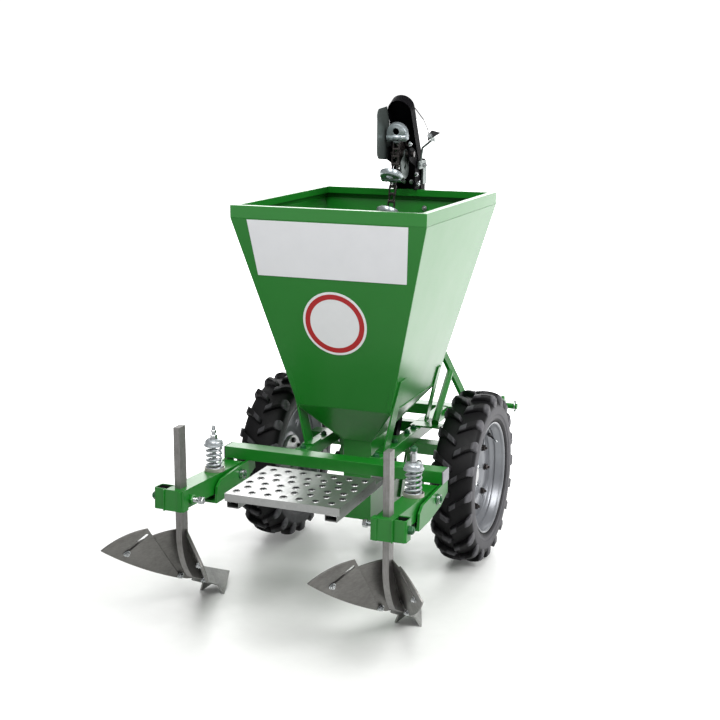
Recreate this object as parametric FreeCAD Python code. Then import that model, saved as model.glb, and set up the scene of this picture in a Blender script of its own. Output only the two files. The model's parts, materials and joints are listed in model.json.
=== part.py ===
"""One-row trailed potato planter, built as separate sub-parts.

Units are millimetres.  +X is the machine's right side, +Y is the travel direction and
+Z is up, with the floor at Z = 0.  Every size and place below is worked out with Y = 0 at
the wheel axle; save() then moves each piece so that the origin lies on the floor under the
middle of the whole machine.
"""
import FreeCAD, Part
import functools
import math
import os

V = FreeCAD.Vector
X_AXIS, Y_AXIS, Z_AXIS = V(1, 0, 0), V(0, 1, 0), V(0, 0, 1)
SIDES = {"left": -1, "right": 1}

# ---------------------------------------------------------------- driving dimensions
# running gear
TYRE_RADIUS = 295.0
TYRE_WIDTH = 141.0
TRACK = 705.0
CROWN_HALF = 26.0           # half width of the tread's round top
CROWN_EDGE, CROWN_DROP = 20.0, 7.0
SHOULDER_DROP = 17.0
BELLY_RISE = 34.0           # from the bead's top to the widest ring
TREAD_THICKNESS = 20.0
SIDEWALL = 12.0
BEAD_WIDTH, BEAD_HEIGHT = 9.0, 18.0
RIM_SEAT_RADIUS = 187.0
RIM_LIP_HEIGHT = 13.0
RIM_WIDTH = 122.0
RIM_SHEET = 4.0
RIM_WELL_DEPTH = 22.0
RIM_WELL_HALF, RIM_WELL_SLOPE = 18.0, 8.0
DISC_SHEET = 5.0
DISC_FACE = 10.0            # the disc's bolting face lies this far inside the rim's middle
DISC_DISH = 14.0            # and its outer ring this much further out
DISC_FACE_RADIUS = 72.0
DISC_SLOPE = 30.0
DISC_HOLES, DISC_HOLE_RADIUS = 4, 9.0
NAVE_RADIUS = 29.5
NAVE_CAP = 14.0
HUB_RADIUS = 24.0
HUB_REACH = 52.0            # from the rim's middle to the hub's inner end
HUB_FLANGE_RADIUS = 68.0
HUB_FLANGE = 12.0
AXLE_RADIUS = 17.5
AXLE_STICK_OUT = 16.0       # past the inner hanger
RUNNING_FIT = 0.05          # radial play of a shaft in its bearing

# chassis
TUBE_WIDTH = 60.0           # rear, front and axle beams are 60 x 40 tube
TUBE_HEIGHT = 40.0
TUBE_WALL = 4.0
FRAME_TOP = 438.0
REAR_BEAM_Y = -409.0
REAR_BEAM_OVERHANG = 41.5   # past each arm's middle plane
CAP_HEAD, CAP_PLUG = 4.0, 16.0
FRONT_BEAM_Y = 370.0
FRONT_BEAM_LENGTH = 640.0
RAIL_X = 130.0
RAIL_WIDTH = 40.0
AXLE_BEAM_LENGTH = 500.0
CROSS_MEMBER_Y = 175.0
CROSS_MEMBER_DROP = 20.0
HANGER_INNER_X = 125.0
HANGER_OUTER_X = 238.0
HANGER_PLATE = 12.0
BEARING_RADIUS = 31.0
BEARING_WIDTH = 26.0
BEARING_FLANGE, BEARING_FLANGE_HALF = 10.0, 16.0
HANGER_SHOULDER, HANGER_HEEL, HANGER_TOE = 8.0, 22.0, 38.0      # above, below, below the axle

# hitch: category 1
HITCH_SPREAD = 683.0
LOWER_PIN_RADIUS = 11.0
LOWER_PIN_LENGTH = 52.0
LOWER_PIN_Y = 430.0
PIN_BACK = 18.0
LINCH_RADIUS = 5.0
LINCH_SETBACK = 9.0         # hole's middle to the pin's free end
HITCH_REACH = 32.0          # plate ahead of the pin
HITCH_CROWN = 34.0          # and above it
HITCH_DROP = 14.0           # and below the beam
HITCH_CORNER = 24.0
HITCH_STAY, HITCH_STAY_GAP = 10.0, 50.0
PIN_RISE = 22.0             # pin above the beam's middle
MAST_HEIGHT = 460.0
TOP_PIN_BORE_RADIUS = 9.75
TOP_EAR_GAP = 52.0
HITCH_PLATE = 12.0
MAST_BAR = 50.0
MAST_FOOT_X = 215.0
MAST_KNEE_Z = 800.0
MAST_CROWN = 24.0           # bars above the top pin
BRACE_TOP_Z = 572.0
BRACE_FOOT_Y = 58.0
BRACE_RADIUS = 13.0
BRACE_FOOT_REACH, BRACE_FOOT_HALF = 68.0, 30.0

# hopper
HOPPER_Y = -88.5
HOPPER_TOP = 1244.0
HOPPER_WAIST_Z = 577.0
NECK_TOP = 435.0
RIM_HALF_X, RIM_HALF_Y = 327.0, 385.5
WAIST_HALF_X, WAIST_HALF_Y = 165.0, 237.5
RIM_BAND = 40.0
RIM_FLANGE = 24.0
SHEET = 3.0
LEG_WIDTH = 38.0
REAR_LEG_WIDTH = 60.0
LEG_PLATE = 6.0
LEG_OFFSET, LEG_INSET, LEG_FOOT_EXTRA = 4.0, 4.0, 14.0
REAR_LEG_TOP_Z = 684.0
FRONT_LEG_TOP_Z = 640.0
SIGN_GAP = 0.3
SIGN_PLATE = 1.2
SIGN_WIDTH, SIGN_FOOT_WIDTH = 538.0, 503.0
SIGN_HEIGHT = 186.0
SIGN_BELOW_RIM = 133.5        # from the hopper's top down to the plate's middle
ROUND_SIGN_RADIUS = 109.0
ROUND_SIGN_BELOW_RIM = 371.0
ROUND_SIGN_X = -1.0

# elevator
BOOT_HALF_X = 50.0
BOOT_REAR_Y, BOOT_FRONT_Y = -200.0, -40.0
BOOT_BOTTOM = 155.0
BLACK_SHEET = 2.0
DROP_HALF_X = 45.0
DROP_DEPTH = 44.0
DROP_RISE = 107.0           # the tube's front wall above the hopper's rim
MOUTH_RISE = 46.0           # its rear wall, where the mouth slants down to
DROP_CLEARANCE = 3.0        # more room between tube and hopper at the waist
DROP_KNEE_Y, DROP_KNEE_Z = 44.0, 342.0
DROP_FOOT_Y, DROP_FOOT_Z = 34.0, 300.0
DROP_END_Z = 150.0
HOOD_RISE = 142.0           # the hood's lower rear edge above the rim
HOOD_HEIGHT = 191.0         # and the hood's crown above that edge
HOOD_SETBACK = 47.0         # behind the tube's rear wall
HOOD_SKIRT = 60.0
HOOD_LEAN = 27.0
HOOD_DEPTH = 42.0
CHAIN_BOTTOM_Y, CHAIN_BOTTOM_Z = -121.0, 262.0
CHAIN_WIDTH = 22.0
CHAIN_HEIGHT = 14.0
SPROCKET_RADIUS = 48.0
HEAD_RISE = 130.0           # the head shaft above the rim
HEAD_SETBACK = 96.5         # and behind the tube's rear wall
SPROCKET_PLATE, SPROCKET_NAVE = 8.0, 28.0
SHAFT_RADIUS = 10.0
SHAFT_RIM = 7.0             # metal round the shaft in the naves and eyes
SHAFT_STICK_OUT = 8.0
CUP_RADIUS = 39.0
CUP_REACH = 64.0            # from the chain to the cup's outer lip
CUP_WALL = 2.5
CUP_DEPTH = 20.0
CUP_STRAP = 21.0
CUP_TILT = 16.0
CUP_HOLE_RADIUS, CUP_HOLE_REACH = 8.0, 36.0
CUP_LUG = 6.0
CUP_PITCH = 130.0
CUP_COUNT = 9
HEAD_CUP_TURN = 49.0        # how far round the head wheel the first cup has come
GUARD_RISE, GUARD_SETBACK = 118.0, 217.0
GUARD_HEIGHT = 168.0
GUARD_DEPTH = 134.0
GUARD_CORNER = 26.0
HEAD_PLATE = 6.0
BRACKET_LOBE, BRACKET_FOOT = 12.0, 50.0
SHAKER_X, SHAKER_PLATE = 17.0, 4.0
SHAKER_OFFSET = 9.0
SHAKER_RADIUS = 40.0
SHAKER_DROP = 46.0
LEVER_RADIUS = 4.0
LEVER_BASE, LEVER_TONGUE = 56.0, 40.0
LEVER_RISE, LEVER_REACH, LEVER_KICK = 102.0, 40.0, 32.0
STOP_HALF = 24.0

# furrow opener
OPENER_HALF_X = 58.0
OPENER_BOTTOM, OPENER_TOP = 48.0, 235.0
OPENER_PLATE = 6.0
OPENER_REAR = 30.0          # behind the seed tube's rear wall
OPENER_NOSE = 110.0         # ahead of its front wall
OPENER_TAPER = 90.0
OPENER_RAKE = 56.0
STRUT_PLATE = 8.0
STRUT_FOOT_Z = 160.0

# step
STEP_HALF_X = 187.0
STEP_REAR_Y, STEP_FRONT_Y = -815.0, -516.0
STEP_PACKER = 7.0           # between the beam and the step's rails
STEP_SHEET = 2.5
STEP_SKIRT = 24.0
STEP_HOLE_RADIUS = 7.7
STEP_HOLE_ROWS, STEP_HOLE_COLUMNS = 6, 7
STEP_HOLE_PITCH_X, STEP_HOLE_PITCH_Y = 52.0, 46.0
STEP_HOLE_SHIFT = 7.8       # rows are staggered by this to either side
STEP_RAIL_X = 160.0
STEP_RAIL_WIDTH, STEP_RAIL_HEIGHT, STEP_RAIL_WALL = 40.0, 20.0, 2.5

# ridger arms
ROW_SPACING = 675.0
ARM_SIZE = 60.0
ARM_WALL = 5.0
ARM_TILT = 3.0
PIVOT_Y, PIVOT_Z = -491.0, 368.0
PIVOT_RADIUS = 10.0
PIVOT_HEAD_RADIUS, PIVOT_HEAD, PIVOT_NUT = 15.0, 11.0, 14.0
PIVOT_BUSH = 7.0
ARM_FRONT = 44.0            # arm end ahead of the pivot
ARM_REAR = 366.0            # arm end behind the pivot
ARM_CAP, ARM_CAP_DROP, ARM_CAP_RISE = 6.0, 4.0, 2.0
ARM_FLANGE = 26.0
CHEEK_GAP = 5.5
CHEEK_PLATE = 8.0
CHEEK_REAR_Y = -663.0
CHEEK_FRONT_Y = -385.0
CHEEK_STEP_Y, CHEEK_HEEL_Y = -452.0, -628.0
WEB_Z = 320.0
WEB_FRONT_Y = -560.0
WEB_PLATE = 8.0
ROD_Y = -593.0
ROD_RADIUS = 6.0
ROD_TOP = 556.0
ROD_SLOT = 5.0              # room round the rod in the arm's slot
ROD_NUT_RADIUS = 10.0
ROD_FOOT, ROD_LOCK, ROD_TOP_NUTS = 12.0, 8.0, 22.0      # heights of the nuts on the rod
SPRING_RADIUS = 27.0
SPRING_WIRE = 8.0
SPRING_FIT = 1.9            # lets the tilted seat clear the spring's level end
CUP_PLATE = 4.0
SPRING_CUP_RADIUS = 33.0
SPRING_CUP_RIM, SPRING_CUP_WALL = 12.0, 3.0
SPRING_TOP_Z = 500.0
SEAT_GAP = 0.3

# ridger bodies
SHANK_Y = -812.0
SHANK_WIDTH, SHANK_DEPTH = 20.0, 40.0
SHANK_TOP = 608.0
SHANK_FIT = 0.3
FOOT_BEND_Z = 263.0
FOOT_INNER_BEND, FOOT_OUTER_BEND = (-768.0, 172.0), (-815.0, 178.0)     # (y, z) on the two arcs
FOOT_INSTEP, FOOT_TOE, FOOT_TOE_LOW = (-716.0, 104.0), (-600.0, 52.0), (-604.0, 30.0)
FOOT_SOLE, FOOT_HEEL = (-700.0, 72.0), (-770.0, 108.0)
RIDGER_PLATE = 5.0
RIDGER_REACH = 400.0        # more than any ridger piece reaches from its shank
RIDGE_FOOT = V(0, -680.0, 94.0)
PLATE_NORMAL = V(0.737, 0.582, 0.344)
BOARD_OUTLINE = (((-12, -24), (84, 195)), ((84, 195), (195, 188), (296, 148)),
                 ((296, 148), (194, 64), (60, -14)), ((60, -14), (-12, -24)))
WING_OUTLINE = (((78, -6), (215, 224)), ((215, 224), (292, 210), (359, 170)),
                ((359, 170), (231, 77), (78, -6)))
WING_SLOT = ((277, 148), (217, 199), 6.0)
WING_GAP = 6.0              # each wing's inner edge from the ridger's middle plane
SHARE_TIP = V(0, -499.0, 27.0)
SHARE_HEEL = V(45.0, -627.0, 0.0)
SHARE_CROWN = V(0, -694.0, 117.0)
SHARE_PLATE = 6.0
SHARE_TAIL, SHARE_NOTCH = 0.62, (0.28, 0.06)            # shares of the share's own edges
SOCKET_Y, SOCKET_X, SOCKET_WALL = 50.0, 40.0, 5.0
SOCKET_SCREW_RADIUS, SOCKET_SCREW = 9.0, 12.0
CLAMP_RADIUS, CLAMP_THREAD = 8.0, 20.0
CLAMP_NUT_RADIUS, CLAMP_NUT = 14.0, 14.0
CLAMP_HEAD_RADIUS, CLAMP_HEAD = 12.0, 12.0
CLAMP_DROP = 4.0            # below the arm's middle line

# ---------------------------------------------------------------- derived places
WHEEL_X = TRACK / 2
RIM_LIP_RADIUS = RIM_SEAT_RADIUS + RIM_LIP_HEIGHT
ARM_X = ROW_SPACING / 2
REAR_BEAM_LENGTH = ROW_SPACING + 2 * REAR_BEAM_OVERHANG
BEAM_BOTTOM = FRAME_TOP - TUBE_HEIGHT
STEP_TOP = BEAM_BOTTOM - STEP_PACKER + STEP_SKIRT
AXLE_Z = TYRE_RADIUS
LOWER_PIN_Z = FRAME_TOP - TUBE_HEIGHT / 2 + PIN_RISE
TOP_PIN_Z = LOWER_PIN_Z + MAST_HEIGHT
HITCH_FRONT_Y = LOWER_PIN_Y + HITCH_REACH
MAST_FOOT_THICKNESS = HITCH_PLATE * 1.15        # a sloping plate, measured level
TUBE_REAR_Y = HOPPER_Y + RIM_HALF_Y + HEAD_PLATE      # rear wall of the seed tube's top
DROP_TOP = HOPPER_TOP + DROP_RISE
MOUTH_REAR_Z = HOPPER_TOP + MOUTH_RISE
HOOD_BASE_Y, HOOD_BASE_Z = TUBE_REAR_Y - HOOD_SETBACK, HOPPER_TOP + HOOD_RISE
GUARD_REAR_Y, GUARD_LOW_Z = TUBE_REAR_Y - GUARD_SETBACK, HOPPER_TOP + GUARD_RISE
SIGN_CENTRE_Z = HOPPER_TOP - SIGN_BELOW_RIM
ROUND_SIGN_Z = HOPPER_TOP - ROUND_SIGN_BELOW_RIM


# ---------------------------------------------------------------- shape helpers
def save(node, *solids):
    """Write one sub-part, moved from the axle datum to the machine's origin."""
    shape = solids[0] if len(solids) == 1 else Part.makeCompound(list(solids))
    shape = shape.copy()
    shape.translate(V(0, axle_y(), 0))
    shape.exportStep("parts/" + node + ".step")
    print(node, len(shape.Solids), "solids", round(shape.Volume), shape.isValid())


def block(x0, x1, y0, y1, z0, z1):
    """Box between two corners, given in any order."""
    low = V(min(x0, x1), min(y0, y1), min(z0, z1))
    return Part.makeBox(abs(x1 - x0), abs(y1 - y0), abs(z1 - z0), low)


def rod(radius, start, end):
    """Cylinder between two points."""
    run = end - start
    return Part.makeCylinder(radius, run.Length, start, run)


def face_of(points):
    """Flat face through a closed ring of points."""
    return Part.Face(Part.makePolygon(points + [points[0]]))


def slab_x(outline, x0, x1):
    """Prism of a (y, z) outline between two X planes."""
    return face_of([V(x0, y, z) for y, z in outline]).extrude(V(x1 - x0, 0, 0))


def slab_y(outline, y0, y1):
    """Prism of an (x, z) outline between two Y planes."""
    return face_of([V(x, y0, z) for x, z in outline]).extrude(V(0, y1 - y0, 0))


def slab_z(outline, z0, z1):
    """Prism of an (x, y) outline between two Z planes."""
    return face_of([V(x, y, z0) for x, y in outline]).extrude(V(0, 0, z1 - z0))


def tube_x(x0, x1, y, z, width, height, wall):
    """Rectangular tube along X, centred on (y, z)."""
    outer = block(x0, x1, y - width / 2, y + width / 2, z - height / 2, z + height / 2)
    inner = block(x0, x1, y - width / 2 + wall, y + width / 2 - wall,
                  z - height / 2 + wall, z + height / 2 - wall)
    return outer.cut(inner)


def tube_y(y0, y1, x, z, width, height, wall):
    """Rectangular tube along Y, centred on (x, z)."""
    outer = block(x - width / 2, x + width / 2, y0, y1, z - height / 2, z + height / 2)
    inner = block(x - width / 2 + wall, x + width / 2 - wall, y0, y1,
                  z - height / 2 + wall, z + height / 2 - wall)
    return outer.cut(inner)


def frustum(low, high):
    """Solid between two rectangles, each (x0, x1, y0, y1, z)."""
    rings = []
    for x0, x1, y0, y1, z in (low, high):
        ring = [V(x0, y0, z), V(x1, y0, z), V(x1, y1, z), V(x0, y1, z)]
        rings.append(Part.makePolygon(ring + [ring[0]]))
    return Part.makeLoft(rings, True, True)


def turned_x(profile, centre):
    """Solid of an (x, radius) profile turned about the X axis through a point."""
    ring = [V(centre.x + x, centre.y, centre.z + r) for x, r in profile]
    return face_of(ring).revolve(centre, X_AXIS, 360)


def mirrored(shape):
    """The shape on the other side of the machine's middle plane."""
    return shape.mirror(V(0, 0, 0), X_AXIS)


def sided(shape, side):
    """A shape made for the right side, put on the asked side."""
    return shape if side > 0 else mirrored(shape)


def both(shape):
    """A shape made for the right side, on both sides."""
    return [mirrored(shape), shape]


def fused(first, *others):
    """One solid out of several that touch."""
    for other in others:
        first = first.fuse(other)
    return first.removeSplitter()


# ---------------------------------------------------------------- wheels
def tyre(side):
    """Hollow tyre: bead, sidewall and tread envelope, open towards the rim."""
    half = TYRE_WIDTH / 2
    bead = RIM_WIDTH / 2 - RIM_SHEET - SEAT_GAP
    seat = RIM_SEAT_RADIUS + SEAT_GAP
    belly = seat + BEAD_HEIGHT + BELLY_RISE
    outer = [(bead, seat), (bead, seat + BEAD_HEIGHT), (half, belly),
             (half, TYRE_RADIUS - 2 * SHOULDER_DROP),
             (CROWN_HALF + CROWN_EDGE, TYRE_RADIUS - CROWN_DROP), (CROWN_HALF, TYRE_RADIUS)]
    inside, wall, foot = TYRE_RADIUS - TREAD_THICKNESS, half - SIDEWALL, bead - BEAD_WIDTH
    inner = [(CROWN_HALF, inside), (CROWN_HALF + CROWN_EDGE, inside - CROWN_DROP),
             (wall, inside - 2 * SIDEWALL), (wall, belly), (foot, seat + BEAD_HEIGHT), (foot, seat)]

    def other_half(points):
        return [(-x, r) for x, r in reversed(points)]

    outline = outer + other_half(outer) + other_half(inner) + inner
    return turned_x(outline, V(side * WHEEL_X, 0, AXLE_Z))


def rim(side):
    """Drop-centre rim with its dished disc and the disc's lightening holes."""
    centre = V(side * WHEEL_X, 0, AXLE_Z)
    lip, seat, well = RIM_WIDTH / 2, RIM_SEAT_RADIUS, RIM_SEAT_RADIUS - RIM_WELL_DEPTH
    low, high, t = RIM_WELL_HALF, RIM_WELL_HALF + RIM_WELL_SLOPE, RIM_SHEET
    top = [(-lip, RIM_LIP_RADIUS), (-lip + t, RIM_LIP_RADIUS), (-lip + t, seat),
           (-high, seat), (-low, well), (low, well), (high, seat), (lip - t, seat),
           (lip - t, RIM_LIP_RADIUS), (lip, RIM_LIP_RADIUS)]
    under = [(lip, seat - t), (high - t / 2, seat - t), (low - t / 2, well - t),
             (t / 2 - low, well - t), (t / 2 - high, seat - t), (-lip, seat - t)]
    barrel = turned_x(top + under, centre)
    face, ring, d = -DISC_FACE, DISC_DISH - DISC_FACE, DISC_SHEET
    foot, crown = DISC_FACE_RADIUS + 2, DISC_FACE_RADIUS + DISC_SLOPE + 2
    dish = [(face, NAVE_RADIUS), (face, foot), (ring, crown), (ring, well - t),
            (ring + d, well - t), (ring + d, crown - 2), (face + d, foot - 2),
            (face + d, NAVE_RADIUS)]
    disc = turned_x([(side * x, r) for x, r in dish], centre)
    body = fused(barrel, disc)
    hole_circle = (crown + well - t) / 2
    for k in range(DISC_HOLES):
        angle = 2 * math.pi * (k + 0.5) / DISC_HOLES
        point = centre + V(-lip, hole_circle * math.cos(angle), hole_circle * math.sin(angle))
        body = body.cut(rod(DISC_HOLE_RADIUS, point, point + X_AXIS * RIM_WIDTH))
    return body


def hub(side):
    """Hub flange behind the disc, hub cap and the stub axle that turns in the bearings."""
    centre = V(side * WHEEL_X, 0, AXLE_Z)
    back, front = -DISC_FACE - HUB_FLANGE, -DISC_FACE
    profile = [(back, 0), (back, HUB_FLANGE_RADIUS), (front, HUB_FLANGE_RADIUS),
               (front, NAVE_RADIUS), (NAVE_CAP - 4, NAVE_RADIUS), (NAVE_CAP, NAVE_RADIUS - 4),
               (NAVE_CAP, 0)]
    nave = turned_x([(side * x, r) for x, r in profile], centre)
    end = centre - X_AXIS * side * HUB_REACH
    barrel = rod(HUB_RADIUS, end, centre + X_AXIS * side * back)
    inner = HANGER_INNER_X - HANGER_PLATE / 2 - AXLE_STICK_OUT
    axle = rod(AXLE_RADIUS, V(side * inner, 0, AXLE_Z), end)
    return fused(nave, barrel, axle)


# ---------------------------------------------------------------- chassis
def rear_beam():
    """Rear beam, which carries the step and the ridger arms."""
    z = FRAME_TOP - TUBE_HEIGHT / 2
    half = REAR_BEAM_LENGTH / 2
    return tube_x(-half, half, REAR_BEAM_Y, z, TUBE_WIDTH, TUBE_HEIGHT, TUBE_WALL)


def beam_caps():
    """Plastic plugs in the ends of the rear beam."""
    x, y, z = REAR_BEAM_LENGTH / 2, TUBE_WIDTH / 2, TUBE_HEIGHT / 2
    middle = FRAME_TOP - z
    head = block(x, x + CAP_HEAD, REAR_BEAM_Y - y, REAR_BEAM_Y + y, middle - z, middle + z)
    y, z = y - TUBE_WALL, z - TUBE_WALL
    plug = block(x - CAP_PLUG, x, REAR_BEAM_Y - y, REAR_BEAM_Y + y, middle - z, middle + z)
    return both(fused(head, plug))


def front_beam():
    """Front beam, which carries the hitch."""
    z = FRAME_TOP - TUBE_HEIGHT / 2
    half = FRONT_BEAM_LENGTH / 2
    return tube_x(-half, half, FRONT_BEAM_Y, z, TUBE_WIDTH, TUBE_HEIGHT, TUBE_WALL)


def rails():
    """The two long members between the rear and the front beam."""
    z = FRAME_TOP - TUBE_HEIGHT / 2
    rear = REAR_BEAM_Y + TUBE_WIDTH / 2
    front = FRONT_BEAM_Y - TUBE_WIDTH / 2
    return both(tube_y(rear, front, RAIL_X, z, RAIL_WIDTH, TUBE_HEIGHT, TUBE_WALL))


def cross_member():
    """Square tube between the rails, hung on ears that run under them."""
    z = FRAME_TOP - TUBE_HEIGHT / 2 - CROSS_MEMBER_DROP
    inner = RAIL_X - RAIL_WIDTH / 2
    outer = RAIL_X + RAIL_WIDTH / 2 - TUBE_WALL
    half = TUBE_HEIGHT / 2
    beam = tube_x(-inner, inner, CROSS_MEMBER_Y, z, TUBE_HEIGHT, TUBE_HEIGHT, TUBE_WALL)
    ears = block(-outer, outer, CROSS_MEMBER_Y - half, CROSS_MEMBER_Y + half,
                 BEAM_BOTTOM - TUBE_WALL, BEAM_BOTTOM)
    return fused(beam, ears)


def axle_beam():
    """Beam under the rails that carries the wheels' hangers."""
    z = BEAM_BOTTOM - TUBE_HEIGHT / 2
    half = AXLE_BEAM_LENGTH / 2
    return tube_x(-half, half, 0, z, TUBE_WIDTH, TUBE_HEIGHT, TUBE_WALL)


def axle_hangers():
    """Plates under the axle beam that hold the bearings of the two stub axles."""
    top, half, r = BEAM_BOTTOM - TUBE_HEIGHT, TUBE_WIDTH / 2, BEARING_RADIUS
    shoulder, heel, toe = AXLE_Z + HANGER_SHOULDER, AXLE_Z - HANGER_HEEL, AXLE_Z - HANGER_TOE
    outline = [(-half, top), (half, top), (r + 5, shoulder), (r, heel), (AXLE_RADIUS, toe),
               (-AXLE_RADIUS, toe), (-r, heel), (-r - 5, shoulder)]
    parts = []
    for x in (HANGER_INNER_X, HANGER_OUTER_X):
        x0, x1 = x - HANGER_PLATE / 2, x + HANGER_PLATE / 2
        bore = rod(AXLE_RADIUS + RUNNING_FIT, V(x0, 0, AXLE_Z), V(x1, 0, AXLE_Z))
        parts += both(slab_x(outline, x0, x1).cut(bore))
    return parts


def bearing_blocks():
    """Flanged bearing housings bolted to the faces of the hangers."""
    low, high = AXLE_Z - BEARING_RADIUS - 6, AXLE_Z + BEARING_RADIUS + 14
    parts = []
    for x, way in ((HANGER_INNER_X, 1), (HANGER_OUTER_X, -1)):
        start = V(x + way * HANGER_PLATE / 2, 0, AXLE_Z)
        end = start + X_AXIS * way * BEARING_WIDTH
        flange = block(start.x, start.x + way * BEARING_FLANGE, -BEARING_FLANGE_HALF,
                       BEARING_FLANGE_HALF, low, high)
        housing = fused(rod(BEARING_RADIUS, start, end), flange)
        parts += both(housing.cut(rod(AXLE_RADIUS + RUNNING_FIT, start, end)))
    return parts


# ---------------------------------------------------------------- hitch
def lower_hitch():
    """Lower hitch plates on the front beam with their pins, each with a linch-pin hole."""
    outer, inner = HITCH_SPREAD / 2, HITCH_SPREAD / 2 - HITCH_PLATE
    rear, front = FRONT_BEAM_Y + TUBE_WIDTH / 2, HITCH_FRONT_Y
    low, high = BEAM_BOTTOM - HITCH_DROP, LOWER_PIN_Z + HITCH_CROWN
    c = HITCH_CORNER
    plate = slab_x([(rear, low), (front - c, low), (front, low + c), (front, high - c),
                    (front - c, high), (rear, high - c)], inner, outer)
    stay_x = inner - HITCH_STAY_GAP
    stay = slab_x([(rear, BEAM_BOTTOM), (front - c, BEAM_BOTTOM + HITCH_STAY),
                   (front - c, FRAME_TOP - HITCH_STAY), (rear, FRAME_TOP)],
                  stay_x - HITCH_STAY, stay_x)
    tie = block(stay_x, inner, rear, rear + HITCH_STAY, BEAM_BOTTOM, FRAME_TOP)
    reach = block(FRONT_BEAM_LENGTH / 2, outer, rear - TUBE_WIDTH + HITCH_STAY, rear,
                  BEAM_BOTTOM, FRAME_TOP)

    def pin_at(x):
        return V(x, LOWER_PIN_Y, LOWER_PIN_Z)

    pin = rod(LOWER_PIN_RADIUS, pin_at(outer), pin_at(outer + LOWER_PIN_LENGTH))
    back = rod(LOWER_PIN_RADIUS, pin_at(inner - PIN_BACK), pin_at(inner))
    hole = pin_at(outer + LOWER_PIN_LENGTH - LINCH_SETBACK)
    across = Z_AXIS * 2 * LOWER_PIN_RADIUS
    linch = rod(LINCH_RADIUS, hole - across, hole + across)
    return both(fused(plate, tie, stay, reach, pin, back).cut(linch))


def mast():
    """A-shaped headstock: two bent bars from the front beam up to the top-link ears."""
    inner, foot, knee, t = TOP_EAR_GAP / 2, MAST_FOOT_X, MAST_KNEE_Z, HITCH_PLATE
    top = TOP_PIN_Z + MAST_CROWN
    rear, front = FRONT_BEAM_Y - MAST_BAR / 2, FRONT_BEAM_Y + MAST_BAR / 2
    bar = slab_y([(foot, FRAME_TOP), (foot + MAST_FOOT_THICKNESS, FRAME_TOP), (inner + t, knee),
                  (inner + t, top), (inner, top), (inner, knee - t / 2)], rear, front)
    middle = V(0, FRONT_BEAM_Y, TOP_PIN_Z)
    bar = bar.cut(rod(TOP_PIN_BORE_RADIUS, middle, middle + X_AXIS * (inner + 2 * t)))
    tie = block(-inner, inner, rear, rear + HITCH_STAY, knee - t, knee + 3 * t)
    left, right = both(bar)
    return fused(left, tie, right)


def mast_x_at(z):
    """Outer face of a sloping mast bar at a height."""
    share = (z - FRAME_TOP) / (MAST_KNEE_Z - FRAME_TOP)
    foot, knee = MAST_FOOT_X + MAST_FOOT_THICKNESS, TOP_EAR_GAP / 2 + HITCH_PLATE
    return foot + (knee - foot) * share


def braces():
    """Round stays from the mast down to foot plates on the rails above the axle."""
    inner_x, outer_x = RAIL_X - RAIL_WIDTH / 2, RAIL_X + RAIL_WIDTH / 2 + BRACE_FOOT_REACH
    mast_rear = FRONT_BEAM_Y - MAST_BAR / 2
    foot = V(outer_x - 2 * BRACE_RADIUS, BRACE_FOOT_Y, FRAME_TOP + BRACE_RADIUS)
    top = V(mast_x_at(BRACE_TOP_Z) - HITCH_PLATE / 2, mast_rear + BRACE_RADIUS, BRACE_TOP_Z)
    stay = rod(BRACE_RADIUS, foot, top)
    box = stay.BoundBox
    stay = stay.cut(block(box.XMin, box.XMax, mast_rear, box.YMax + 1, box.ZMin, box.ZMax))
    base = block(inner_x, outer_x, BRACE_FOOT_Y - BRACE_FOOT_HALF, BRACE_FOOT_Y + BRACE_FOOT_HALF,
                 FRAME_TOP, FRAME_TOP + LEG_PLATE)
    return both(fused(stay, base))


# ---------------------------------------------------------------- hopper
def hopper_box(level):
    """Outer rectangle of the hopper at the waist (0) or under the rim band (1)."""
    hx = WAIST_HALF_X + (RIM_HALF_X - WAIST_HALF_X) * level
    hy = WAIST_HALF_Y + (RIM_HALF_Y - WAIST_HALF_Y) * level
    return hx, hy


def hopper_half_at(z):
    """Outer half sizes of the hopper at a height above the waist."""
    band_z = HOPPER_TOP - RIM_BAND
    return hopper_box((z - HOPPER_WAIST_Z) / (band_z - HOPPER_WAIST_Z))


def wall_run(half_low, half_high, low, high):
    """Horizontal thickness of a sheet that slopes between two half sizes."""
    slope = (half_high - half_low) / (high - low)
    return SHEET * math.sqrt(1 + slope * slope)


def hopper_panels():
    """The four flat panels of the upper hopper: rear, front, left and right."""
    z0, z1 = HOPPER_WAIST_Z, HOPPER_TOP - RIM_BAND
    wx, wy, rx, ry = WAIST_HALF_X, WAIST_HALF_Y, RIM_HALF_X, RIM_HALF_Y
    tx = wall_run(wx, rx, z0, z1)
    ty = wall_run(wy, ry, z0, z1)
    y = HOPPER_Y
    rear = frustum((-wx, wx, y - wy, y - wy + ty, z0), (-rx, rx, y - ry, y - ry + ty, z1))
    front = frustum((-wx, wx, y + wy - ty, y + wy, z0), (-rx, rx, y + ry - ty, y + ry, z1))
    right = frustum((wx - tx, wx, y - wy + ty, y + wy - ty, z0),
                    (rx - tx, rx, y - ry + ty, y + ry - ty, z1))
    return {"rear": rear, "front": front, "left": mirrored(right), "right": right}


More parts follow.
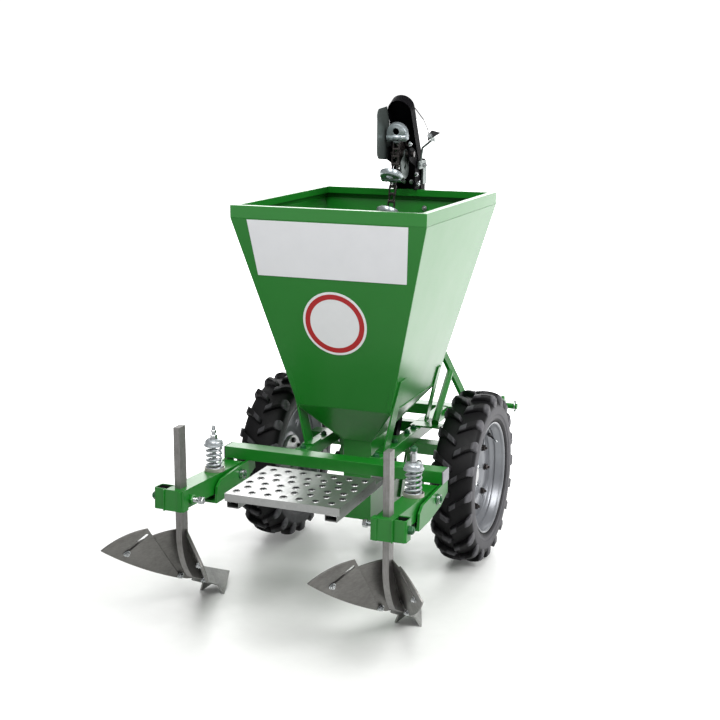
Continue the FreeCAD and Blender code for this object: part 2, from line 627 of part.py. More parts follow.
def hopper_rim():
    """Upright band round the mouth, folded inwards and down along its top."""
    z0, z1 = HOPPER_TOP - RIM_BAND, HOPPER_TOP
    x, y0, y1 = RIM_HALF_X, HOPPER_Y - RIM_HALF_Y, HOPPER_Y + RIM_HALF_Y
    shell = block(-x, x, y0, y1, z0, z1)
    shell = shell.cut(block(-x + SHEET, x - SHEET, y0 + SHEET, y1 - SHEET, z0, z1))
    f = RIM_FLANGE
    hem = block(-x + SHEET, x - SHEET, y0 + SHEET, y1 - SHEET, z1 - f, z1)
    hem = hem.cut(block(-x + f, x - f, y0 + f, y1 - f, z1 - f, z1))
    slot = block(-x + SHEET, x - SHEET, y0 + SHEET, y1 - SHEET, z1 - f, z1 - SHEET)
    slot = slot.cut(block(-x + f - SHEET, x - f + SHEET, y0 + f - SHEET, y1 - f + SHEET,
                          z1 - f, z1 - SHEET))
    return fused(shell, hem.cut(slot))


def funnel():
    """Lower hopper: an upside-down pyramid from the waist to the elevator boot."""
    z0, z1 = NECK_TOP, HOPPER_WAIST_Z
    wx, wy, y = WAIST_HALF_X, WAIST_HALF_Y, HOPPER_Y
    outer = frustum((-BOOT_HALF_X, BOOT_HALF_X, BOOT_REAR_Y, BOOT_FRONT_Y, z0),
                    (-wx, wx, y - wy, y + wy, z1))
    t = wall_run(BOOT_HALF_X, wx, z0, z1)
    inner = frustum((-BOOT_HALF_X + t, BOOT_HALF_X - t, BOOT_REAR_Y + t, BOOT_FRONT_Y - t, z0),
                    (-wx + t, wx - t, y - wy + t, y + wy - t, z1))
    return outer.cut(inner)


def boot():
    """Elevator boot under the funnel, open at the top."""
    outer = block(-BOOT_HALF_X, BOOT_HALF_X, BOOT_REAR_Y, BOOT_FRONT_Y, BOOT_BOTTOM, NECK_TOP)
    inner = block(-BOOT_HALF_X + SHEET, BOOT_HALF_X - SHEET, BOOT_REAR_Y + SHEET,
                  BOOT_FRONT_Y - SHEET, BOOT_BOTTOM + SHEET, NECK_TOP)
    return outer.cut(inner)


def hopper_leg(front):
    """Flat leg on a hopper side: along the sloping panel, then down to the rail."""
    top = FRONT_LEG_TOP_Z if front else REAR_LEG_TOP_Z
    foot, waist, crown = RAIL_X + LEG_OFFSET, WAIST_HALF_X, hopper_half_at(top)[0]
    t = LEG_PLATE
    outline = [(foot, FRAME_TOP), (foot + t, FRAME_TOP), (waist + t, HOPPER_WAIST_Z),
               (crown + t, top), (crown, top), (waist, HOPPER_WAIST_Z)]
    way, width = (1, LEG_WIDTH) if front else (-1, REAR_LEG_WIDTH)
    edge = HOPPER_Y + way * (WAIST_HALF_Y - LEG_INSET)
    plate = slab_y(outline, edge, edge - way * width)
    pad = block(RAIL_X - RAIL_WIDTH / 2, RAIL_X + RAIL_WIDTH / 2, edge,
                edge - way * (width + LEG_FOOT_EXTRA), FRAME_TOP, FRAME_TOP + LEG_PLATE)
    return both(fused(plate, pad))


def rear_face_y(z, out):
    """Y of a plane parallel to the rear panel, a distance outside it."""
    half = hopper_half_at(z)[1]
    slope = math.atan2(RIM_HALF_Y - WAIST_HALF_Y, HOPPER_TOP - RIM_BAND - HOPPER_WAIST_Z)
    return HOPPER_Y - half - out / math.cos(slope)


def rear_signs():
    """The blank tapered plate and the blank round plate on the rear panel."""
    slope = math.degrees(math.atan2(RIM_HALF_Y - WAIST_HALF_Y,
                                    HOPPER_TOP - RIM_BAND - HOPPER_WAIST_Z))
    half = SIGN_HEIGHT / 2
    plate = slab_y([(-SIGN_FOOT_WIDTH / 2, -half), (SIGN_FOOT_WIDTH / 2, -half),
                    (SIGN_WIDTH / 2, half), (-SIGN_WIDTH / 2, half)], -SIGN_PLATE, 0)
    disc = Part.makeCylinder(ROUND_SIGN_RADIUS, SIGN_PLATE, V(0, -SIGN_PLATE, 0), Y_AXIS)
    placed = []
    for shape, x, z in ((plate, 0, SIGN_CENTRE_Z), (disc, ROUND_SIGN_X, ROUND_SIGN_Z)):
        shape.rotate(V(0, 0, 0), X_AXIS, slope)
        shape.translate(V(x, rear_face_y(z, SIGN_GAP), z))
        placed.append(shape)
    return placed


# ---------------------------------------------------------------- elevator
def head_centre():
    """Centre of the head sprocket."""
    return V(0, TUBE_REAR_Y - HEAD_SETBACK, HOPPER_TOP + HEAD_RISE)


def chain_tilt():
    """Angle of the rising chain from upright, in radians; it meets the head as a tangent."""
    head = head_centre()
    rise, run = head.z - CHAIN_BOTTOM_Z, head.y - CHAIN_BOTTOM_Y
    return math.atan2(run, rise) - math.asin(SPROCKET_RADIUS / math.hypot(run, rise))


def drop_line(z):
    """Y of the drop tube's rear wall at a height: along the hopper's front, then down."""
    rim = TUBE_REAR_Y
    waist = HOPPER_Y + WAIST_HALF_Y + HEAD_PLATE + DROP_CLEARANCE
    points = [(HOPPER_TOP, rim), (HOPPER_TOP - RIM_BAND, rim), (HOPPER_WAIST_Z, waist),
              (DROP_KNEE_Z, DROP_KNEE_Y), (DROP_FOOT_Z, DROP_FOOT_Y)]
    if z >= points[0][0]:
        return rim
    for (z_high, y_high), (z_low, y_low) in zip(points, points[1:]):
        if z >= z_low:
            return y_low + (y_high - y_low) * (z - z_low) / (z_high - z_low)
    return DROP_FOOT_Y


def drop_outline(levels, inset):
    """Side outline of the drop tube over some levels, inset from its outer walls."""
    rear = [(drop_line(z) + inset, z) for z in levels]
    front = [(drop_line(z) + DROP_DEPTH - inset, z) for z in reversed(levels)]
    return rear + front


def drop_tube():
    """Seed tube down the front of the hopper, open at both ends, with a slanting mouth."""
    levels = [DROP_TOP, HOPPER_TOP, HOPPER_TOP - RIM_BAND, HOPPER_WAIST_Z, DROP_KNEE_Z,
              DROP_FOOT_Z, DROP_END_Z]
    outer = slab_x(drop_outline(levels, 0), -DROP_HALF_X, DROP_HALF_X)
    past = [DROP_TOP + DROP_DEPTH] + levels[1:-1] + [DROP_END_Z - DROP_DEPTH]
    inside = DROP_HALF_X - BLACK_SHEET
    inner = slab_x(drop_outline(past, BLACK_SHEET), -inside, inside)
    rear, front = TUBE_REAR_Y, TUBE_REAR_Y + DROP_DEPTH
    mouth = slab_x([(rear, MOUTH_REAR_Z), (front, DROP_TOP), (rear, DROP_TOP)],
                   -DROP_HALF_X, DROP_HALF_X)
    return outer.cut(inner).cut(mouth)


def hood():
    """Rounded hood over the head of the elevator, open at the rear, set into the tube."""
    r, t = DROP_HALF_X - BLACK_SHEET, BLACK_SHEET
    lean = math.radians(HOOD_LEAN)
    height = HOOD_HEIGHT / math.cos(lean) - HOOD_DEPTH * math.tan(lean)

    def arch(radius, y0, y1, z0):
        side = block(-radius, radius, y0, y1, z0, height - r)
        top = Part.makeCylinder(radius, y1 - y0, V(0, y0, height - r), Y_AXIS)
        return side.fuse(top)

    shell = arch(r, 0, HOOD_DEPTH, -HOOD_SKIRT)
    shell = shell.cut(arch(r - t, -t, HOOD_DEPTH - t, -HOOD_SKIRT - t))
    shell.rotate(V(0, 0, 0), X_AXIS, HOOD_LEAN)
    shell.translate(V(0, HOOD_BASE_Y, HOOD_BASE_Z))
    box = shell.BoundBox
    inside = TUBE_REAR_Y + DROP_DEPTH - t
    low = block(-r, r, box.YMin, box.YMax, box.ZMin, MOUTH_REAR_Z + t)
    front = block(-r, r, inside, inside + HOOD_DEPTH, box.ZMin, HOOD_BASE_Z + HOOD_SKIRT)
    return shell.cut(low).cut(front)


def guard_plate():
    """Side guard on the left of the head, with rounded rear corners."""
    x, t = -DROP_HALF_X, BLACK_SHEET
    y0, z0 = GUARD_REAR_Y, GUARD_LOW_Z
    y1, z1 = y0 + GUARD_DEPTH, z0 + GUARD_HEIGHT
    front_low, peak = z0 - GUARD_DEPTH * 0.09, z1 + GUARD_DEPTH * 0.06
    plate = slab_x([(y0, z0), (y1, front_low), (y1, z0 + GUARD_HEIGHT * 0.55),
                    (y1 - GUARD_DEPTH * 0.28, peak), (y0, z1)], x, x + t)
    across = [e for e in plate.Edges if e.BoundBox.XLength > t / 2]
    corners = [e for e in across if e.BoundBox.YMax < y0 + 1 or e.BoundBox.ZMax < z0 - 1]
    return plate.makeFillet(GUARD_CORNER, corners)


def head_wheel():
    """Head sprocket with its shaft, which ends in the two bracket plates."""
    centre = head_centre()
    rim = SPROCKET_RADIUS - CHAIN_HEIGHT / 2 - SEAT_GAP
    half, nave_half = SPROCKET_PLATE / 2, SPROCKET_NAVE / 2
    wheel = rod(rim, centre - X_AXIS * half, centre + X_AXIS * half)
    nave = rod(SHAFT_RADIUS + SHAFT_RIM, centre - X_AXIS * nave_half, centre + X_AXIS * nave_half)
    reach = DROP_HALF_X - BLACK_SHEET
    shaft = rod(SHAFT_RADIUS, centre - X_AXIS * reach, centre + X_AXIS * (reach + SHAFT_STICK_OUT))
    return fused(wheel, nave, shaft)


def head_bracket():
    """Two black plates that stand over the front rim and carry the head shaft."""
    centre = head_centre()
    rim_y, tube_y_rear = TUBE_REAR_Y - HEAD_PLATE, TUBE_REAR_Y
    outer = DROP_HALF_X - 2 * BLACK_SHEET
    lobe = SHAFT_RADIUS + BRACKET_LOBE
    outline = [(rim_y - BRACKET_FOOT, HOPPER_TOP), (tube_y_rear, HOPPER_TOP),
               (tube_y_rear, MOUTH_REAR_Z), (centre.y + 2 * lobe, centre.z + SHAFT_RADIUS),
               (centre.y + BRACKET_LOBE, centre.z + lobe), (centre.y - lobe, centre.z + lobe),
               (centre.y - lobe, centre.z - lobe), (rim_y - BRACKET_FOOT, centre.z - 2 * lobe)]
    plate = slab_x(outline, outer - HEAD_PLATE, outer)
    plate = plate.cut(rod(SHAFT_RADIUS, centre, centre + X_AXIS * outer))
    back = block(-outer, outer, rim_y, tube_y_rear, HOPPER_TOP - RIM_BAND + HEAD_PLATE,
                 MOUTH_REAR_Z - BLACK_SHEET)
    plates = both(plate)
    return fused(plates[0], back, plates[1])


def chain():
    """Rising run of the chain and its turn over the head sprocket, as one closed band."""
    h, w = CHAIN_HEIGHT / 2, CHAIN_WIDTH / 2
    centre = head_centre()
    tilt = chain_tilt()
    across = V(0, math.cos(tilt), -math.sin(tilt))
    meet = centre - across * SPROCKET_RADIUS
    low = V(0, CHAIN_BOTTOM_Y, CHAIN_BOTTOM_Z)
    corners = [low - across * h, low + across * h, meet + across * h, meet - across * h]
    run = slab_x([(p.y, p.z) for p in corners], -w, w)
    ring = rod(SPROCKET_RADIUS + h, centre - X_AXIS * w, centre + X_AXIS * w)
    ring = ring.cut(rod(SPROCKET_RADIUS - h, centre - X_AXIS * 2 * w, centre + X_AXIS * 2 * w))
    reach = 2 * SPROCKET_RADIUS
    half = block(-50, 50, -reach, reach, 0, reach)
    half.rotate(V(0, 0, 0), X_AXIS, -math.degrees(tilt))
    half.translate(centre)
    return fused(run, ring.common(half))


def cup():
    """One seed cup: a shallow D-shaped dish, its flat edge on the X axis, mouth upwards."""
    def dish(inset, z0, z1):
        r, straight = CUP_RADIUS - inset, CUP_REACH - CUP_RADIUS
        bowl = Part.makeCylinder(r, z1 - z0, V(0, -straight, z0), Z_AXIS)
        bowl = bowl.common(block(-r, r, -CUP_REACH, -straight, z0, z1))
        return bowl.fuse(block(-r, r, -straight, -inset, z0, z1))
    shell = dish(0, -CUP_DEPTH, 0).cut(dish(CUP_WALL, -CUP_DEPTH + CUP_WALL, 0))
    drain = V(0, -CUP_HOLE_REACH, -CUP_DEPTH)
    shell = shell.cut(rod(CUP_HOLE_RADIUS, drain, drain + Z_AXIS * CUP_DEPTH))
    side = CUP_RADIUS - CUP_WALL
    strap = block(-side, side, -CUP_STRAP, 0, -CUP_DEPTH - CUP_WALL, -CUP_DEPTH)
    lug = block(-CHAIN_WIDTH / 2, CHAIN_WIDTH / 2, -CUP_LUG, CHAIN_HEIGHT / 2,
                -CUP_DEPTH - CUP_WALL, 0)
    shape = fused(shell, strap, lug)
    shape.rotate(V(0, 0, 0), X_AXIS, -CUP_TILT)
    return shape


def cups(band):
    """The seed cups up the rising run, the first one already turning over the head."""
    lean = chain_tilt()
    across = V(0, math.cos(lean), -math.sin(lean))
    along = V(0, math.sin(lean), math.cos(lean))
    meet = head_centre() - across * (SPROCKET_RADIUS + CHAIN_HEIGHT / 2)
    run = CUP_PITCH - SPROCKET_RADIUS * math.radians(HEAD_CUP_TURN)
    shapes = []
    for k in range(CUP_COUNT):
        shape = cup()
        shape.rotate(V(0, 0, 0), X_AXIS, -math.degrees(lean))
        shape.translate(meet - along * (run + (k - 1) * CUP_PITCH if k else 0))
        if k == 0:
            shape.rotate(head_centre(), X_AXIS, -HEAD_CUP_TURN)
        shapes.append(shape.cut(band))
    return shapes


def shaker_plate():
    """Grey plate beside the chain that hangs on the head shaft."""
    centre = head_centre()
    middle = centre + V(0, -SHAKER_OFFSET, -SHAKER_DROP)
    x0, x1 = SHAKER_X, SHAKER_X + SHAKER_PLATE
    eye_radius = SHAFT_RADIUS + SHAFT_RIM

    def at(point, x):
        return V(x, point.y, point.z)

    disc = rod(SHAKER_RADIUS, at(middle, x0), at(middle, x1))
    eye = rod(eye_radius, at(centre, x0), at(centre, x1))
    neck = block(x0, x1, centre.y - eye_radius, centre.y + eye_radius, middle.z, centre.z)
    plate = fused(disc, eye, neck).cut(rod(SHAFT_RADIUS, at(centre, x0), at(centre, x1)))
    wide, high = SHAKER_RADIUS * 0.3, SHAKER_RADIUS * 0.4
    diamond = slab_x([(middle.y - wide, middle.z), (middle.y, middle.z - high),
                      (middle.y + wide, middle.z), (middle.y, middle.z + high)], x0, x1)
    return plate.cut(diamond)


def shaker_lever():
    """Shaker lever outside the tube on the right: base plate, bent rod and stop plate."""
    x, rear, z, t, r = DROP_HALF_X, TUBE_REAR_Y, MOUTH_REAR_Z, HEAD_PLATE, LEVER_RADIUS
    front = rear + DROP_DEPTH - r
    base = block(x, x + t, rear + r, front, z - LEVER_BASE / 2, z + LEVER_BASE / 2)
    tongue = block(x, x + t, rear - LEVER_TONGUE, front, z + LEVER_BASE / 2, z + LEVER_BASE)
    foot = V(x + t / 2, rear - LEVER_TONGUE / 2, z + LEVER_BASE * 0.9)
    elbow = V(x + r + t, foot.y, z + LEVER_RISE)
    tip = elbow + V(LEVER_REACH, 0, LEVER_KICK)
    stop = slab_x([(tip.y - STOP_HALF, tip.z - r), (tip.y + STOP_HALF, tip.z - 3 * r),
                   (tip.y + r, tip.z + STOP_HALF)], tip.x - r, tip.x)
    return fused(base, tongue, rod(r, foot, elbow), Part.makeSphere(r, elbow), rod(r, elbow, tip),
                 stop)


# ---------------------------------------------------------------- furrow opener
def opener_span():
    """Y of the opener's rear edges and of its nose."""
    tube = drop_line(OPENER_TOP)
    return tube - OPENER_REAR, tube + DROP_DEPTH + OPENER_NOSE


def furrow_opener():
    """Boat-shaped opener: two cheeks meeting at a nose, round the tube's lower end."""
    rear, nose = opener_span()
    x, t, z0, z1 = OPENER_HALF_X, OPENER_PLATE, OPENER_BOTTOM, OPENER_TOP
    taper = nose - OPENER_TAPER
    outer = slab_z([(-x, rear), (x, rear), (x, taper), (0, nose), (-x, taper)], z0, z1)
    inner = slab_z([(-x + t, rear), (x - t, rear), (x - t, taper - t / 3), (0, nose - 2 * t),
                    (-x + t, taper - t / 3)], z0, z1)
    rake = slab_x([(nose - OPENER_RAKE, z0), (nose, z0), (nose, z1)], -x, x)
    return outer.cut(inner).cut(rake)


def opener_struts():
    """Flat struts from the cross member down to the opener's cheeks."""
    half = TUBE_HEIGHT / 2
    rear, front = CROSS_MEMBER_Y - half, CROSS_MEMBER_Y + half
    top = BEAM_BOTTOM - CROSS_MEMBER_DROP
    toe = opener_span()[1] - OPENER_TAPER
    foot = STRUT_FOOT_Z
    strut = slab_x([(rear, top), (front, top), (toe, foot), (toe - 2 * half, foot)],
                   OPENER_HALF_X, OPENER_HALF_X + STRUT_PLATE)
    return both(strut)


# ---------------------------------------------------------------- step
def step_plate():
    """Folded tread plate with staggered raised holes."""
    outer = block(-STEP_HALF_X, STEP_HALF_X, STEP_REAR_Y, STEP_FRONT_Y,
                  STEP_TOP - STEP_SKIRT, STEP_TOP)
    t = STEP_SHEET
    inner = block(-STEP_HALF_X + t, STEP_HALF_X - t, STEP_REAR_Y + t, STEP_FRONT_Y - t,
                  STEP_TOP - STEP_SKIRT, STEP_TOP - t)
    tray = outer.cut(inner)
    middle = (STEP_REAR_Y + STEP_FRONT_Y) / 2
    holes = []
    for row in range(STEP_HOLE_ROWS):
        y = middle + (row - (STEP_HOLE_ROWS - 1) / 2) * STEP_HOLE_PITCH_Y
        shift = STEP_HOLE_SHIFT if row % 2 else -STEP_HOLE_SHIFT
        for column in range(STEP_HOLE_COLUMNS):
            x = (column - (STEP_HOLE_COLUMNS - 1) / 2) * STEP_HOLE_PITCH_X + shift
            holes.append(Part.makeCylinder(STEP_HOLE_RADIUS, t, V(x, y, STEP_TOP - t)))
    return tray.cut(Part.makeCompound(holes))


def step_rails():
    """Two flat tubes that carry the step from under the rear beam."""
    z = STEP_TOP - STEP_SKIRT - STEP_RAIL_HEIGHT / 2
    front = REAR_BEAM_Y + TUBE_WIDTH / 2
    tube = tube_y(STEP_REAR_Y, front, STEP_RAIL_X, z, STEP_RAIL_WIDTH, STEP_RAIL_HEIGHT,
                  STEP_RAIL_WALL)
    top = STEP_TOP - STEP_SKIRT
    x, y = STEP_RAIL_WIDTH / 2 - TUBE_WALL, TUBE_WIDTH / 2 - 1.5 * TUBE_WALL
    packer = block(STEP_RAIL_X - x, STEP_RAIL_X + x, REAR_BEAM_Y - y, REAR_BEAM_Y + y,
                   top, BEAM_BOTTOM)
    return both(fused(tube, packer))


# ---------------------------------------------------------------- ridger arms
def tilted(shape):
    """Turn a piece made level into the arm's resting tilt about the pivot."""
    turned = shape.copy()
    turned.rotate(V(0, PIVOT_Y, PIVOT_Z), X_AXIS, -ARM_TILT)
    return turned


def arm_brackets():
    """U-shaped brackets under the rear beam: two cheeks and a web below the arm."""
    inner = ARM_SIZE / 2 + CHEEK_GAP
    outer = inner + CHEEK_PLATE
    top, low, slope = BEAM_BOTTOM, WEB_Z, (BEAM_BOTTOM - WEB_Z) / 3
    heel_y = (CHEEK_REAR_Y + 2 * CHEEK_HEEL_Y) / 3
    outline = [(CHEEK_FRONT_Y, top), (CHEEK_STEP_Y, top), (CHEEK_HEEL_Y, top - CHEEK_PLATE),
               (heel_y - 2 * CHEEK_PLATE, top - slope), (CHEEK_REAR_Y, low), (WEB_FRONT_Y, low),
               (CHEEK_STEP_Y, low + slope / 2), (CHEEK_FRONT_Y, top - 1.5 * slope)]
    hole = rod(PIVOT_RADIUS, V(ARM_X - outer, PIVOT_Y, PIVOT_Z), V(ARM_X + outer, PIVOT_Y, PIVOT_Z))
    cheeks = [slab_x(outline, ARM_X + a, ARM_X + b).cut(hole)
              for a, b in ((inner, outer), (-outer, -inner))]
    web = block(ARM_X - inner, ARM_X + inner, CHEEK_REAR_Y, WEB_FRONT_Y, low, low + WEB_PLATE)
    web = web.cut(rod(ROD_RADIUS, V(ARM_X, ROD_Y, low), V(ARM_X, ROD_Y, low + WEB_PLATE)))
    return both(fused(cheeks[0], web, cheeks[1]))


def pivot_pins():
    """Bolts on which the arms swing, with head and nut."""
    reach = ARM_SIZE / 2 + CHEEK_GAP + CHEEK_PLATE

    def along(start, end, radius):
        return rod(radius, V(ARM_X + start, PIVOT_Y, PIVOT_Z), V(ARM_X + end, PIVOT_Y, PIVOT_Z))

    return both(fused(along(-reach, reach, PIVOT_RADIUS),
                      along(reach, reach + PIVOT_HEAD, PIVOT_HEAD_RADIUS),
                      along(-reach - PIVOT_NUT, -reach, PIVOT_HEAD_RADIUS)))


def spring_rods():
    """Guide rods through the arms, each with its top cup and nuts."""
    web_top, top = WEB_Z + WEB_PLATE, SPRING_TOP_Z + SEAT_GAP

    def round_piece(radius, z0, z1):
        return rod(radius, V(ARM_X, ROD_Y, z0), V(ARM_X, ROD_Y, z1))

    skirt_low = top - SPRING_CUP_RIM + CUP_PLATE
    skirt = round_piece(SPRING_CUP_RADIUS, skirt_low, top)
    skirt = skirt.cut(round_piece(SPRING_CUP_RADIUS - SPRING_CUP_WALL, skirt_low, top))
    return both(fused(round_piece(ROD_RADIUS, WEB_Z - ROD_FOOT - 2, ROD_TOP),
                      round_piece(ROD_NUT_RADIUS, WEB_Z - ROD_FOOT, WEB_Z),
                      round_piece(ROD_NUT_RADIUS, web_top, web_top + ROD_LOCK),
                      round_piece(SPRING_CUP_RADIUS, top, top + CUP_PLATE), skirt,
                      round_piece(ROD_NUT_RADIUS, top + CUP_PLATE, top + CUP_PLATE + ROD_TOP_NUTS)))


def rod_slot():
    """Room that the swinging arm and its spring seat leave round the fixed rod."""
    side, low = ROD_RADIUS + ROD_SLOT, PIVOT_Z - ARM_SIZE
    return block(ARM_X - side, ARM_X + side, ROD_Y - side - 11, ROD_Y + side + 7,
                 low, PIVOT_Z + ARM_SIZE + SPRING_CUP_RIM)


def spring_base_z():
    """Height of the spring's lower end on the tilted arm."""
    lift = math.tan(math.radians(ARM_TILT)) * (PIVOT_Y - ROD_Y)
    return PIVOT_Z + ARM_SIZE / 2 / math.cos(math.radians(ARM_TILT)) + lift


def arm(side):
    """Square-tube arm with its pivot bush, rod slots and the pocket for the shank."""
    y0, y1, half = PIVOT_Y - ARM_REAR, PIVOT_Y + ARM_FRONT, ARM_SIZE / 2
    low, high = PIVOT_Z - half - ARM_CAP_DROP, PIVOT_Z + half + ARM_CAP_RISE
    tube = tube_y(y0, y1, ARM_X, PIVOT_Z, ARM_SIZE, ARM_SIZE, ARM_WALL)
    cap = block(ARM_X - half, ARM_X + half, y0 - ARM_CAP, y0, low, high)
    flange = block(ARM_X - half - ARM_CAP, ARM_X - half, y0 - ARM_CAP, y0 + ARM_FLANGE, low, high)
    ends = [V(x, PIVOT_Y, PIVOT_Z) for x in (ARM_X - half, ARM_X + half)]
    body = fused(tube, cap, flange, rod(PIVOT_RADIUS + PIVOT_BUSH, *ends))
    body = tilted(body.cut(rod(PIVOT_RADIUS + RUNNING_FIT, *ends)))
    return sided(body.cut(rod_slot()).cut(shank_pocket()), side)


def shank_pocket():
    """Clearance hole for the shank, straight down through the arm."""
    fit_x, fit_y = SHANK_WIDTH / 2 + SHANK_FIT, SHANK_DEPTH / 2 + SHANK_FIT
    return block(ARM_X - fit_x, ARM_X + fit_x, SHANK_Y - fit_y, SHANK_Y + fit_y,
                 PIVOT_Z - 2 * ARM_SIZE, PIVOT_Z + 2 * ARM_SIZE)


def arm_socket(side):
    """Open socket on the arm's outer side, with its screw."""
    half, t = ARM_SIZE / 2, SOCKET_WALL
    y0, y1 = PIVOT_Y - ARM_REAR, PIVOT_Y - ARM_REAR + SOCKET_Y
    x0, x1 = ARM_X + half, ARM_X + half + SOCKET_X
    z0, z1 = PIVOT_Z - half - ARM_CAP_RISE, PIVOT_Z + half + ARM_CAP_RISE
    socket = block(x0, x1, y0, y1, z0, z1).cut(block(x0, x1 - t, y0 + t, y1 - t, z0, z1))
    middle = V(x1, (y0 + y1) / 2, PIVOT_Z)
    screw = rod(SOCKET_SCREW_RADIUS, middle, middle + X_AXIS * SOCKET_SCREW)
    return sided(tilted(fused(socket, screw)), side)


def clamp_screw(side):
    """Screw that grips the shank: thread through a welded nut on the arm's inner side."""
    drop = math.tan(math.radians(ARM_TILT)) * (PIVOT_Y - SHANK_Y)
    seat = V(ARM_X - ARM_SIZE / 2, SHANK_Y, PIVOT_Z + drop - CLAMP_DROP)
    nut_end = seat - X_AXIS * CLAMP_NUT
    thread_end = nut_end - X_AXIS * CLAMP_THREAD
    return sided(fused(rod(CLAMP_NUT_RADIUS, nut_end, seat),
                       rod(CLAMP_RADIUS, thread_end, nut_end),
                       rod(CLAMP_HEAD_RADIUS, thread_end - X_AXIS * CLAMP_HEAD, thread_end)), side)


def lower_cup(side):
    """Spring seat on top of the arm."""
    base = V(ARM_X, ROD_Y, PIVOT_Z + ARM_SIZE / 2)
    body = rod(SPRING_CUP_RADIUS, base, base + Z_AXIS * SPRING_CUP_RIM)
    body = body.cut(rod(SPRING_CUP_RADIUS - SPRING_CUP_WALL, base + Z_AXIS * CUP_PLATE,
                        base + Z_AXIS * SPRING_CUP_RIM))
    return sided(tilted(body).cut(rod_slot()), side)


def spring(side):
    """Coil spring as the sleeve that its wire fills."""
    z0 = spring_base_z() + CUP_PLATE + SPRING_FIT
    z1 = SPRING_TOP_Z
    outer = rod(SPRING_RADIUS, V(ARM_X, ROD_Y, z0), V(ARM_X, ROD_Y, z1))
    inner = rod(SPRING_RADIUS - SPRING_WIRE, V(ARM_X, ROD_Y, z0), V(ARM_X, ROD_Y, z1))
    return sided(outer.cut(inner), side)


# ---------------------------------------------------------------- ridger bodies
def plate_axes():
    """Unit vectors of the right mouldboard plane: outwards, up the slope, and normal."""
    normal = V(PLATE_NORMAL).normalize()
    out = normal.cross(Z_AXIS).normalize()
    return out, out.cross(normal), normal


def ridger_plate(outline, back0, back1, slot=None):
    """Plate on the right mouldboard plane, from one depth behind its face to another.

    The outline holds (outwards, up) points: two for a straight edge, three for an arc.  The
    slot is two such points and a radius.
    """
    out, up, normal = plate_axes()

    def at(point, depth):
        return RIDGE_FOOT + out * point[0] + up * point[1] - normal * depth

    edges = []
    for segment in outline:
        ends = [at(point, back0) for point in segment]
        edge = Part.Arc(*ends) if len(ends) == 3 else Part.LineSegment(*ends)
        edges.append(edge.toShape())
    plate = Part.Face(Part.Wire(edges)).extrude(normal * (back0 - back1))
    if slot is None:
        return plate
    first, last, radius = slot
    ends = [(at(point, back0), at(point, back1)) for point in (first, last)]
    across = (ends[1][0] - ends[0][0]).cross(normal).normalize() * radius
    ring = [ends[0][0] + across, ends[1][0] + across, ends[1][0] - across, ends[0][0] - across]
    cutter = face_of(ring).extrude(normal * (back0 - back1))
    for top, bottom in ends:
        cutter = cutter.fuse(rod(radius, top, bottom))
    return plate.cut(cutter)


def right_half(start):
    """All that a ridger body reaches on its right, from a distance off its middle plane."""
    return block(start, RIDGER_REACH, SHANK_Y - RIDGER_REACH, SHANK_Y + RIDGER_REACH, 0, SHANK_TOP)


def mouldboards():
    """The two fixed mouldboards of one ridger, meeting along their ridge."""
    right = ridger_plate(BOARD_OUTLINE, 0, RIDGER_PLATE).common(right_half(0))
    return fused(mirrored(right), right)


def wings():
    """Adjustable wings behind the mouldboards, each with its slot."""
    right = ridger_plate(WING_OUTLINE, RIDGER_PLATE, 2 * RIDGER_PLATE, WING_SLOT)
    right = right.common(right_half(WING_GAP))
    return [mirrored(right), right]


def shank():
    """Flat bar, straight above and swept forwards to the foot that carries the share."""
    rear, front = SHANK_Y - SHANK_DEPTH / 2, SHANK_Y + SHANK_DEPTH / 2
    x = SHANK_WIDTH / 2

    def line(*ends):
        return Part.LineSegment(*[V(-x, y, z) for y, z in ends]).toShape()

    def arc(*points):
        return Part.Arc(*[V(-x, y, z) for y, z in points]).toShape()

    top_rear, top_front = (rear, SHANK_TOP), (front, SHANK_TOP)
    bend_front, bend_rear = (front, FOOT_BEND_Z), (rear, FOOT_BEND_Z - 8)
    edges = [line(bend_rear, top_rear), line(top_rear, top_front), line(top_front, bend_front),
             arc(bend_front, FOOT_INNER_BEND, FOOT_INSTEP), line(FOOT_INSTEP, FOOT_TOE),
             line(FOOT_TOE, FOOT_TOE_LOW), line(FOOT_TOE_LOW, FOOT_SOLE),
             line(FOOT_SOLE, FOOT_HEEL), arc(FOOT_HEEL, FOOT_OUTER_BEND, bend_rear)]
    return Part.Face(Part.Wire(edges)).extrude(V(2 * x, 0, 0))


def share_half():
    """Right half of the pointed share, as a plate folded along its ridge."""
    a, b, c = SHARE_CROWN, SHARE_TIP, SHARE_HEEL
    normal = (b - a).cross(c - a)
    normal.normalize()
    if normal.x < 0:
        normal = normal * -1
    spread = (c - a) - (b - a) * ((c - a).dot(b - a) / (b - a).Length ** 2)
    tail = a + spread * SHARE_TAIL
    notch = c + (a - c) * SHARE_NOTCH[0] + (b - c) * SHARE_NOTCH[1]
    return face_of([a, b, c, notch, tail]).extrude(normal * -SHARE_PLATE)


def share():
    """The share: both halves joined along the ridge."""
    right = share_half().common(right_half(0))
    return fused(mirrored(right), right)


def shifted(shape, side):
    """Put a ridger piece, made about its own middle plane, under its arm."""
    moved = shape.copy()
    moved.translate(V(side * ARM_X, 0, 0))
    return moved


@functools.lru_cache
def axle_y():
    """Y of the axle once the origin is under the middle of the whole machine."""
    rear_most = min(flap.optimalBoundingBox(False, False).YMin for flap in wings())
    return -(rear_most + HITCH_FRONT_Y) / 2


# ---------------------------------------------------------------- build
def build_running_gear():
    for name, side in SIDES.items():
        save(name + "_tyre", tyre(side))
        save(name + "_rim", rim(side))
        save(name + "_hub", hub(side))


